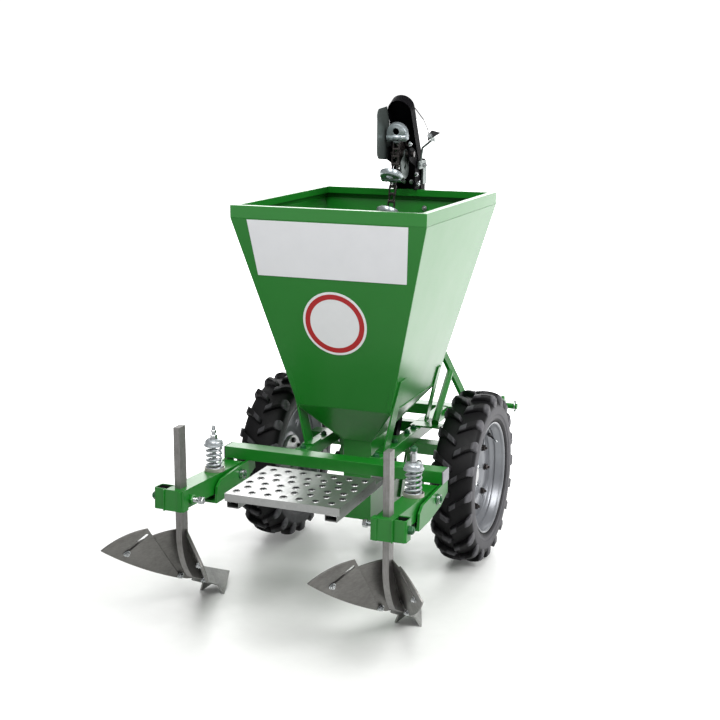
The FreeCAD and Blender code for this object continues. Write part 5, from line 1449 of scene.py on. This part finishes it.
# ------------------------------------------------------------------ hopper
@dataclass
class Hopper:
    """Seed hopper: four panels, rim, funnel, legs and its two blank plates."""

    middle_y: float = -88.5
    waist: float = 577.0
    top: float = 1244.0
    half_waist: tuple[float, float] = (165.0, 237.5)
    half_top: tuple[float, float] = (327.0, 385.5)
    fold_ends: tuple[float, float] = (584.0, 1200.0)
    fold_inset: tuple[float, float] = (1.5, 17.0)
    fold_plate: float = 2.4
    ring_radii: tuple[float, float] = (84.0, 101.0)
    inner_bolt: tuple[float, float] = (67.0, 1179.0)        # across, and height

    # node and width of its eased edges
    NODES: ClassVar[tuple] = (
        ("hopper_rear_panel", 1.2), ("hopper_front_panel", 1.2), ("hopper_left_panel", 1.2),
        ("hopper_right_panel", 1.2), ("hopper_funnel", 1.2), ("hopper_legs", 1.4),
        ("rear_sign_plate", 0.5), ("round_sign_plate", 0.5))

    def build(self) -> None:
        """Dress the hopper and paint its round plate's ring."""
        for node, width in self.NODES:
            refine(node, width)
        refine("hopper_rim", 1.6, merge=False)
        self.ring()
        self.folds()
        self.seams()
        x, z = self.inner_bolt
        Bolts("hopper_inner_bolt", across=13, height=6, washer=9).add(
            spot(x, self.half(1, z) + self.middle_y - 4.5, z), (0, -1, 0.2)).build()

    def half(self, axis: int, z: float) -> float:
        """Half the hopper's width (axis 0) or length (axis 1) at a height."""
        low, high = self.half_waist[axis], self.half_top[axis]
        return low + (high - low) * (z - self.waist) / (self.top - self.waist)

    def folds(self) -> None:
        """Narrow folded strips down the rear panel's edges."""
        (low, high), (near, far) = self.fold_ends, self.fold_inset
        shape = Shape()
        for sign in SIGNS:
            shape.slab([spot(sign * (self.half(0, z) - inset),
                             self.middle_y - self.half(1, z) + 0.5, z)
                        for z, inset in ((low, near), (low, far), (high, far), (high, near))],
                       -FORWARD * self.fold_plate * MM)
        shape.piece("hopper_corner_folds", PAINT, width=0.7)

    def seams(self) -> None:
        """Weld beads round the waist, apart from the rear, and down the funnel's corners."""
        x, y = self.half_waist
        ring = [spot(sx * (x + 0.5), self.middle_y + sy * (y + 0.5), self.waist - 1)
                for sx, sy in CORNERS]
        runs = [(ring[k], ring[(k + 1) % 4]) for k in range(1, 4)]
        runs += [(start, self.funnel_corner(*corner)) for start, corner in zip(ring, CORNERS)]
        weld("hopper_seams", runs, radius=2.2)

    def funnel_corner(self, sx: int, sy: int) -> Vector:
        """Lowest outer corner of the sloping funnel on one side, read from its mesh.

        Args:
            sx: -1 for the left, 1 for the right.
            sy: -1 for the rear, 1 for the front.

        Returns:
            The corner, in metres.
        """
        mesh = frame["nodes"]["hopper_funnel"].data
        top = max(v.co.z for v in mesh.vertices)
        middle = spot(0, self.middle_y, 0)
        slopes = [p for p in mesh.polygons if 0.15 < abs(p.normal.z) < 0.95]
        found = [mesh.vertices[i].co for p in slopes for i in p.vertices
                 if mesh.vertices[i].co.z < top - 50 * MM]
        floor = min(v.z for v in found)
        low = [v for v in found if v.z < floor + 4 * MM]
        return max(low, key=lambda v: sx * v.x + sy * (v.y - middle.y)).copy()

    def ring(self) -> None:
        """Red ring laid on the round plate."""
        mesh = frame["nodes"]["round_sign_plate"].data
        face = max((p for p in mesh.polygons if p.normal.y < -0.5), key=lambda p: p.area)
        low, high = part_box("round_sign_plate")
        centre, normal = (low + high) / 2, face.normal.copy()
        centre += normal * (face.center - centre).dot(normal)
        inner, outer = self.ring_radii
        Shape().turned(((-0.3, inner), (0.25, inner), (0.25, outer), (-0.3, outer)), centre,
                       normal).piece("round_sign_red_ring", DISC_RED)


# ------------------------------------------------------------------ elevator
@dataclass
class Elevator:
    """Cup elevator: boot, chain, cups, head, hood, drop tube and shaker."""

    head: tuple[float, float] = (206.5, 1374.0)     # (y, z) of the head shaft
    low: tuple[float, float] = (-121.0, 262.0)      # (y, z) where the rising run starts
    lean: float = 14.04                             # of the rising run, in degrees
    wheel: float = 48.0                             # radius of the chain round the head
    line_steps: tuple[int, int] = (40, 32)          # on the run and over the head
    pitch: float = 25.4
    plate: float = 6.6                              # half height of a link plate
    cups: int = 9
    cup_pitch: float = 130.0
    cup_lean: float = 16.0
    cup_hole: float = 11.5
    cup_steps: int = 48
    dish_size: tuple[float, float] = (39.0, -25.0)  # radius and middle of the cup's round end
    hole_y: float = -34.0
    head_turn: float = 49.0                         # how far the top cup is over the head

    NODES: ClassVar[tuple] = (
        ("elevator_boot", 0.7, None), ("drop_tube", 0.7, None), ("elevator_hood", 0.7, None),
        ("head_bracket", 0.7, None), ("side_guard", 0.6, None), ("head_sprocket", 0.8, CHAIN),
        ("chain_shaker", 0.7, None), ("furrow_opener", 1.2, None))
    # inner and outer faces of the link plates, then the half length and radius of roller and pin
    PLATES: ClassVar[Profile] = ((7.6, 9.6), (10.0, 12.2))
    ROUNDS: ClassVar[tuple] = ((7.6, 5.6, 12), (13.2, 3.6, 8))
    # distance inside the cup's edge and height, round its wall and lip
    CUP: ClassVar[Profile] = (
        (6, -20), (3.6, -19.2), (1.3, -12), (0, -1.8), (0.4, -0.2), (1.5, 0.4), (2.6, 0),
        (3.4, -1.8), (4.4, -12), (6.8, -16.6), (10, -17.6))
    # what the hole's radius grows by and height, round the hole's edge
    CUP_HOLE: ClassVar[Profile] = ((2.2, -17.4), (0, -18.2), (0, -21.0), (2.4, -20.6))
    STRAPS: ClassVar[tuple] = (((-36.5, -21, -22.5), (36.5, 0, -20)),
                               ((-11, -6, -22.5), (11, 7, 0)))
    # (y, z) of the bolts on both head plates, their outer faces, and the flange's bolts
    HEAD_BOLTS: ClassVar[Profile] = ((250, 1300), (268, 1264), (180, 1410))
    HEAD_FACES: ClassVar[tuple] = ((-45.2, -RIGHT), (41.2, RIGHT))
    FLANGE_BOLTS: ClassVar[tuple] = ((-18, 296, 1270), (10, 296, 1270), (38, 296, 1270))
    TOOTH: ClassVar[Profile] = ((-6, 38), (6, 38), (3.4, 47), (1.2, 50), (-1.2, 50), (-3.4, 47))
    PLATE_OUTLINE: ClassVar[Profile] = ((99, 1421), (106, 1448), (115, 1458), (149, 1450))
    WIRE: ClassVar[tuple] = ((44, 226, 1532), (60, 206, 1522), (84, 202, 1494), (99, 200, 1466),
                             (108, 200, 1434), (104, 202, 1412))

    def build(self) -> None:
        """Dress the elevator and lay its chain."""
        for node, width, finish in self.NODES:
            refine(node, width, finish)
        self.scoops()
        self.chain()
        self.teeth()
        self.bolts()
        self.small_parts()

    def axes(self) -> tuple[Vector, Vector]:
        """Directions along the rising chain and square to it."""
        a = math.radians(self.lean)
        return Vector((0, math.sin(a), math.cos(a))), Vector((0, math.cos(a), -math.sin(a)))

    def line(self) -> list[Vector]:
        """The chain's middle line, up the run and over the head.

        Returns:
            Its points, in metres.
        """
        along, across = self.axes()
        head = spot(0, *self.head)
        meet = head - across * self.wheel * MM
        start = meet - along * (meet - spot(0, *self.low)).length
        run, bend = self.line_steps
        points = [start.lerp(meet, k / run) for k in range(run)]
        for k in range(bend + 1):
            a = math.pi * k / bend
            points.append(head - across * self.wheel * MM * math.cos(a)
                          + along * self.wheel * MM * math.sin(a))
        return points

    def chain(self) -> None:
        """Roller chain: one inner and one outer link, repeated along the line."""
        shape = Shape()
        half = self.pitch / 2
        for (x0, x1), middle in zip(self.PLATES, (0.0, self.pitch)):
            outline = []
            for end, turn in ((middle - half, math.pi / 2), (middle + half, -math.pi / 2)):
                for k in range(7):
                    a = turn + math.pi * k / 6
                    outline.append((end + self.plate * math.cos(a), self.plate * math.sin(a)))
            for sign in SIGNS:
                shape.slab([Vector((sign * x0, y, z)) * MM for y, z in outline],
                           RIGHT * sign * (x1 - x0) * MM)
        for place in (-half, half):
            for long, radius, steps in self.ROUNDS:
                shape.turned(((-long, 0.01), (-long, radius), (long, radius), (long, 0.01)),
                             FORWARD * place * MM, steps=steps)
        path = self.line()
        seed = bpy.data.meshes.new("elevator_chain_links")
        seed.from_pydata(path, [(i, i + 1) for i in range(len(path) - 1)], [])
        repeat(shape, 0.35, path_tree(), seed, CHAIN, Pitch=2 * self.pitch * MM,
               hides=("elevator_chain",))

    def dish(self, inset: float, turn: float) -> tuple[float, float]:
        """Edge of the D-shaped cup as seen from its hole, in millimetres.

        Args:
            inset: distance inside the cup's outer edge.
            turn: direction from the hole, in radians.

        Returns:
            The point across and along the cup.
        """
        radius, straight = self.dish_size[0] - inset, self.dish_size[1]
        near, far = 0.0, 90.0
        for _ in range(24):
            t = (near + far) / 2
            x, y = t * math.cos(turn), self.hole_y + t * math.sin(turn)
            if y > straight:
                inside = abs(x) <= radius and y <= -inset
            else:
                inside = math.hypot(x, y - straight) <= radius
            near, far = (t, far) if inside else (near, t)
        return near * math.cos(turn), self.hole_y + near * math.sin(turn)

    def cup(self) -> Shape:
        """One seed cup with its rolled edge, hole, straps and strap nuts.

        Returns:
            The cup, its hole's wall along Z.
        """
        rings = [[(*self.dish(inset, a), z) for a in around(self.cup_steps)]
                 for inset, z in self.CUP]
        rings += [[(x, y, z) for x, y in circle(self.cup_hole + more, self.cup_steps,
                                                y=self.hole_y)] for more, z in self.CUP_HOLE]
        shape = Shape().loft(([Vector(point) * MM for point in ring] for ring in rings),
                             Ends.JOINED)
        for low, high in self.STRAPS:
            shape.box(Vector(low) * MM, Vector(high) * MM)
        for x in (-19.0, 19.0):
            shape.slab([Vector((*point, -22.5)) * MM for point in circle(5.2, 6, x, -10.5)],
                       UP * -3.6 * MM)
        return shape

    def scoops(self) -> None:
        """Seed cups up the chain, the top one turned over the head."""
        along, across = self.axes()
        head = spot(0, *self.head)
        meet = head - across * (self.wheel + 7) * MM
        lean, turn = math.radians(self.lean + self.cup_lean), math.radians(self.head_turn)
        first = self.cup_pitch - self.wheel * turn
        places = [Matrix.Rotation(-turn, 3, "X") @ (meet - head) + head]
        axes = [Vector((0, math.sin(lean + turn), math.cos(lean + turn)))]
        for k in range(self.cups - 1):
            places.append(meet - along * (first + k * self.cup_pitch) * MM)
            axes.append(Vector((0, math.sin(lean), math.cos(lean))))
        repeat(self.cup(), 0.5, points_tree(), seed_points("seed_cup_set", places, axes),
               CUP_ZINC, hides=("seed_cups",), angle=50.0)

    def teeth(self) -> None:
        """Sprocket teeth that show between the links at the head."""
        tooth = Shape().slab([Vector((-2.6, y, z)) * MM for y, z in self.TOOTH], RIGHT * 5.2 * MM)
        repeat(tooth, 0.5, ring_tree(), seed_points("head_teeth", [Vector()]), STEEL, Count=12,
               Start=0.2, Centre=tuple(spot(0, *self.head)))

    def bolts(self) -> None:
        """Bolts on the drop tube's flange and on both head plates, and the shaker's nuts."""
        bolts = Bolts("elevator_bolts", across=13, height=5, washer=8)
        for place in self.FLANGE_BOLTS:
            bolts.add(spot(*place), -FORWARD)
        for point in self.HEAD_BOLTS:
            for x, axis in self.HEAD_FACES:
                bolts.add(spot(x, *point), axis)
        bolts.build()
        nuts = Bolts("shaker_nuts", across=15, height=9, washer=9, thread=5)
        nuts.add(spot(60, 292, 1330), (0.6, -1, 0.1))
        nuts.add(spot(110, 200.5, 1439), -FORWARD).build()

    def small_parts(self) -> None:
        """Bracket of the side guard, and the shaker's plate and wire."""
        Shape().box(spot(-63, 259, 1350), spot(-40, 262, 1442)).piece(
            "guard_bracket", BLACK, width=0.8)
        Shape().slab([spot(x, 201, z) for x, z in self.PLATE_OUTLINE], FORWARD * 3 * MM).piece(
            "shaker_plate", IRON, width=0.6)
        Shape().sweep([spot(*point) for point in self.WIRE], 1.6, 8).piece("shaker_wire", IRON)


# ------------------------------------------------------------------ step
@dataclass
class Step:
    """Tread plate with serrated raised holes on two open tubes."""

    top: float = 415.0
    middle_y: float = -665.5
    rows: int = 6
    columns: int = 7
    pitch: tuple[float, float] = (52.0, 46.0)
    shift: float = 7.8                  # rows are staggered by this to either side
    hole: float = 7.7
    lip: float = 12.4
    rise: float = 1.7
    teeth: float = 0.2                  # how uneven the raised edge is, as a share of its height
    steps: int = 32

    # distance inside the lip and share of the rise, up the collar's slope
    COLLAR: ClassVar[Profile] = ((0.0, 0.02), (1.0, 0.7), (1.6, 1.0), (2.0, 0.95))

    def build(self) -> None:
        """Dress the plate, raise a collar round each hole and line the holes with a dark wall that
        paints the shade inside them.
        """
        refine("step_plate", 0.0, merge=False)
        refine("step_rails", 1.4)
        self.on_holes("step_collars", self.collar(), TREAD)
        # dark walls that stand in for the shade down the holes
        self.on_holes("step_throats", self.throat(), IRON)

    def collar(self) -> Shape:
        """One raised collar with its serrated edge.

        Returns:
            The collar, round the Z axis.
        """
        rings = []
        for inset, high in self.COLLAR:
            teeth = self.teeth if high > 0.8 else 0.0
            rings.append([
                Vector((x, y, self.rise * high * (1 + (teeth if k % 4 < 2 else -teeth)))) * MM
                for k, (x, y) in enumerate(circle(self.lip - inset, self.steps))])
        return Shape().loft(rings, Ends.OPEN)

    def throat(self) -> Shape:
        """Dark wall inside a hole and down the collar's inner slope, painting the shade in the
        hole.

        Returns:
            The wall, round the Z axis.
        """
        wall, lip, rise = self.hole - 0.1, self.lip, self.rise
        return Shape().turned((
            (rise * 0.8, lip - 1.6), (0.2, lip - 3.4), (-0.2, wall), (-9.0, wall - 0.8),
            (-9.0, wall - 1.3), (-0.3, wall - 0.6), (0.0, lip - 3.9), (rise * 0.7, lip - 2.1)),
            Vector(), UP, 28)

    def on_holes(self, name: str, shape: Shape, finish: Finish) -> None:
        """Repeat a shape on the middle of every hole.

        Args:
            name: the piece's name.
            shape: what is repeated.
            finish: the piece's finish.
        """
        places = []
        for row in range(self.rows):
            y = self.middle_y + (row - (self.rows - 1) / 2) * self.pitch[1]
            shift = self.shift if row % 2 else -self.shift
            for column in range(self.columns):
                x = (column - (self.columns - 1) / 2) * self.pitch[0] + shift
                places.append(spot(x, y, self.top))
        repeat(shape, 0, points_tree(), seed_points(name, places), finish, angle=50.0)


# ------------------------------------------------------------------ ridger arms and ridgers
@dataclass
class RidgerArm(Sided):
    """One sprung arm with its shank clamp, socket, spring seat and coil spring."""

    arm_x: float = 337.5
    half: float = 30.0                  # of the arm's tube
    pivot: tuple[float, float] = (-491.0, 368.0)
    tilt: float = -3.0
    rod_y: float = -593.0
    low: float = 409.3                  # the spring's ends at rest
    high: float = 500.0
    wire: float = 4.0
    radius: float = 22.8                # of the coil's middle line
    coils: float = 5.4
    closed: float = 0.75                # turns that lie flat at each end
    turn_steps: int = 24
    soften: float = 0.12                # share of the pitch that eases in and out
    shank_seat: tuple[float, float] = (-812.0, 380.8)
    thread: tuple[float, float, float, float] = (12.0, 1.8, 7.0, 8.0)   # start, pitch, root, crest
    ridges: int = 13
    socket_x: tuple[float, float] = (366.0, 407.5)
    socket_y: tuple[float, float] = (-857.0, -807.0)
    socket_corner: float = 9.0
    socket_wall: float = 4.0
    # name, then the two corners of a plate on the arm's end, across, along and up
    PLATES: ClassVar[tuple] = (("cap_fin", (365.5, -867, 352), (370.0, -858, 419)),
                               ("cap_strip", (308.5, -866, 353), (322.0, -860, 418)))

    def build(self) -> None:
        """Dress the arm and wind its spring."""
        refine(self.named("arm"), 1.6)
        refine(self.named("spring_seat"), 1.2, SEAT_ZINC)
        self.clamp()
        self.socket()
        for word, low, high in self.PLATES:
            Shape().box(self.spot(*low), self.spot(*high)).piece(
                self.named(word), PAINT, self.body, 0.8)
        self.spring()

    def clamp(self) -> None:
        """Screw that grips the shank: welded nut, thread and hexagon head."""
        seat = self.spot(self.arm_x - self.half, *self.shank_seat)
        start, pitch, root, crest = self.thread
        ridges = []
        for k in range(self.ridges):
            at = start + pitch * k
            ridges += [(at, root), (at + pitch / 2, crest)]
        profile = ((0, 0.01), (0, root), *ridges, (35, root), (35, 0.01))
        Shape().turned(profile, seat, -self.out, 20).piece(
            self.named("clamp_thread"), ZINC, self.body, hides=(self.named("shank_clamp"),))
        for word, finish, place, axis, sizes in (
                ("clamp_nut", PAINT, seat, -self.out, (26, 13, 14, 0.4)),
                ("clamp_head", ZINC, seat - self.out * 34 * MM, -self.out, (21, 12, 11.5, 0.4)),
                ("socket_bolt", BOLT_GREEN, self.spot(407.3, -831.5, 385.8), self.out,
                 (22, 12.5, 13.5, 3))):
            Bolts(self.named(word), finish, self.body, *sizes).add(place, axis).build()

    def socket_loop(self, inset: float) -> list[tuple[float, float]]:
        """Outline of the socket from the arm, round its outer corners and back.

        Args:
            inset: how far inside the outer face it runs, in millimetres.

        Returns:
            Its points across and along the machine.
        """
        low, high = self.socket_y[0] + inset, self.socket_y[1] - inset
        arm, far = self.socket_x[0], self.socket_x[1] - inset
        corner = self.socket_corner - inset
        points = [(arm, low)]
        for middle, start in ((low + corner, -90), (high - corner, 0)):
            for k in range(7):
                a = math.radians(start + 15 * k)
                points.append((far - corner + corner * math.cos(a),
                               middle + corner * math.sin(a)))
        return points + [(arm, high)]

    def socket(self) -> None:
        """Open socket on the arm's outer side, and a dark lining inside it that paints the shade
        in its opening.
        """
        pivot = spot(0, *self.pivot)
        tilt = (Matrix.Translation(pivot) @ Matrix.Rotation(math.radians(self.tilt), 4, "X")
                @ Matrix.Translation(-pivot))
        inside = self.socket_wall
        for word, finish, outer, inner, foot, depth, width, hides in (
                ("socket", PAINT, 0.0, inside, 334, 66, 1.0, (self.named("shank_clamp"),)),
                # dark lining: painted shade inside the open socket
                ("socket_lining", IRON, inside + 0.05, inside + 0.5, 335, 62, 0.0, ())):
            outline = self.socket_loop(outer) + list(reversed(self.socket_loop(inner)))
            Shape().slab([self.spot(x, y, foot) for x, y in outline], UP * depth * MM).moved(
                tilt).piece(self.named(word), finish, self.body, width, hides)

    def spring(self) -> None:
        """Wire wound in a coil with closed ends."""
        low, high = self.low + self.wire + 0.4, self.high - self.wire - 0.2
        path = []
        for k in range(round((self.coils + 2 * self.closed) * self.turn_steps) + 1):
            turn = k / self.turn_steps
            part = min(1.0, max(0.0, (turn - self.closed) / self.coils))
            share = part * part * (3 - 2 * part) * self.soften + part * (1 - self.soften)
            a = FULL_TURN * turn + 0.6
            path.append(spot(self.side.value * self.arm_x + self.radius * math.cos(a),
                             self.rod_y + self.radius * math.sin(a), low + (high - low) * share))
        made = Shape().sweep(path, self.wire).plain(self.named("spring_wire"), SPRING)
        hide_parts(self.named("spring"))
        self.body
        tuple(self.spot(self.arm_x, self.rod_y, self.high))
        tuple(self.spot(self.arm_x, self.rod_y, self.low))
        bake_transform(made)
        LOG.info("%s: %d faces between frame and ridger", made.name, len(made.data.polygons))


@dataclass
class ArmMounts:
    """What holds both arms on the frame: brackets, pivot bolts and spring rods."""

    arm_x: float = 337.5
    rod_y: float = -593.0
    rod_foot: float = 307.0
    rod_tops: tuple[float, float] = (548.0, 555.0)          # left and right
    cheek: float = 43.6                                     # a bracket's outer face from its arm
    pivot: tuple[float, float] = (-491.0, 368.0)
    web: tuple[float, float] = (320.0, 328.0)               # lower and upper face
    cup_top: float = 511.0
    thread: tuple[float, float, int] = (527.0, 1.75, 16)    # start, pitch and count of the ridges
    # (up, radius) of the upper spring cup, round its skin and lining
    CUP: ClassVar[Profile] = (
        (487.5, 28.4), (487.5, 31.2), (488.3, 31.9), (491.4, 31.9), (492.4, 31.0), (493, 29.4),
        (499, 28.8), (504, 27.0), (508, 22.8), (510.4, 16.5), (511, 6.2), (507, 6.2),
        (506.4, 15), (504, 21.5), (500, 25.4), (494, 27.2))

    def build(self) -> None:
        """Dress the brackets and pins and make the rods with their cups and nuts."""
        refine("arm_brackets", 1.2)
        refine("arm_pivot_pins", 1.0)
        self.rods()
        self.threads()
        self.bolts()

    def rods(self) -> None:
        """Guide rods with their bell-shaped upper cups."""
        for sign, top, word in zip(SIGNS, self.rod_tops, ("left", "right")):
            centre, foot = spot(sign * self.arm_x, self.rod_y, 0), self.rod_foot
            rod = ((foot, 0.01), (foot, 5.2), (foot + 1.5, 6), (top - 1.5, 5.9), (top, 4.9),
                   (top, 0.01))
            for piece, profile, steps in (("spring_rod", rod, 24), ("upper_cup", self.CUP, 48)):
                Shape().turned(profile, centre, UP, steps).piece(
                    f"{word}_{piece}", SPRING, hides=("spring_rods",))

    def threads(self) -> None:
        """Thread ridges on the rods' ends."""
        start, pitch, count = self.thread
        places = [spot(sign * self.arm_x, self.rod_y, start + pitch * k)
                  for sign in SIGNS for k in range(count)]
        ridge = Shape().turned(((-0.5, 5.4), (0.0, 6.35), (0.5, 5.4)), Vector(), UP, 18)
        repeat(ridge, 0, points_tree(), seed_points("rod_threads", places), ZINC)

    def bolts(self) -> None:
        """Nuts on the rods and at the pivots."""
        x, y, (low, high), cup = self.arm_x, self.rod_y, self.web, self.cup_top
        webs = [(sign * x, z, axis) for sign in SIGNS for z, axis in ((low, -UP), (high, UP))]
        for word, finish, sizes, places in (
                ("rod_long_nut", ZINC, (18, 32, 13, 0.5), [(x, cup, UP)]),
                ("rod_top_nut", BOLT_GREEN, (20, 11, 10, 3), [(x, 546, UP)]),
                ("rod_low_nuts", ZINC, (20, 11, 13, 0.5), [(-x, cup, UP)] + webs),
                ("rod_small_nut", ZINC, (15, 8, 7.5, 0.5), [(-x, 529, UP)])):
            bolts = Bolts(word, finish, "frame", *sizes)
            for across, z, axis in places:
                bolts.add(spot(across, y, z), axis)
            bolts.build()
        dark = Bolts("pivot_nuts", BOLT_GREEN, across=24, height=11, washer=17)
        for sign in SIGNS:
            for hand in SIGNS:
                dark.add(spot(sign * x + hand * self.cheek, *self.pivot), RIGHT * hand)
        dark.build()


@dataclass
class RidgerBody(Sided):
    """One ridger: shank, share, mouldboards and adjustable wings."""

    arm_x: float = 337.5
    foot: tuple[float, float, float] = (0.0, -680.0, 94.0)
    normal: tuple[float, float, float] = (0.737, 0.582, 0.344)
    bolt_depth: float = -10.2           # the wings' back, along the mouldboard's normal

    NODES: ClassVar[tuple] = (("shank", 1.0), ("share", 1.0), ("mouldboards", 0.8), ("wings", 0.8))

    def build(self) -> None:
        """Dress the ridger and add its bolts."""
        for word, width in self.NODES:
            refine(self.named(word), width)
        bolts = Bolts(self.named("plate_bolts"), ZINC, self.body, 15, 6, 11, 4)
        for hand in SIGNS:
            for out, up in ((275, 143), (85, 10)):
                place, normal = self.on_plate(out, up, self.bolt_depth, hand)
                bolts.add(place, -normal)
        bolts.build()

    def on_plate(self, out: float, up: float, depth: float, hand: int) -> tuple[Vector, Vector]:
        """Point on a mouldboard's plane and the plane's normal.

        Args:
            out: distance outwards along the plane, in millimetres.
            up: distance up its slope.
            depth: distance along its normal; negative is behind the plate.
            hand: 1 for the right mouldboard, -1 for the left.

        Returns:
            The point in the frame and the unit normal.
        """
        normal = Vector(self.normal).normalized()
        across = normal.cross(UP).normalized()
        place = Vector(self.foot) + across * out + across.cross(normal) * up + normal * depth
        return (spot(self.side.value * self.arm_x + hand * place.x, place.y, place.z),
                Vector((hand * normal.x, normal.y, normal.z)))


def main() -> None:
    """Build the studio and the machine."""
    logging.basicConfig(level=logging.INFO, format="%(name)s: %(message)s")
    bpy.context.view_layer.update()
    Studio().build()
    for side in Side:
        Wheel(side).build()
    for part in (Chassis(), Hitch(), Hopper(), Elevator(), Step(), ArmMounts()):
        part.build()
    for side in Side:
        RidgerArm(side).build()
        RidgerBody(side).build()


if __name__ == "__main__":
    main()
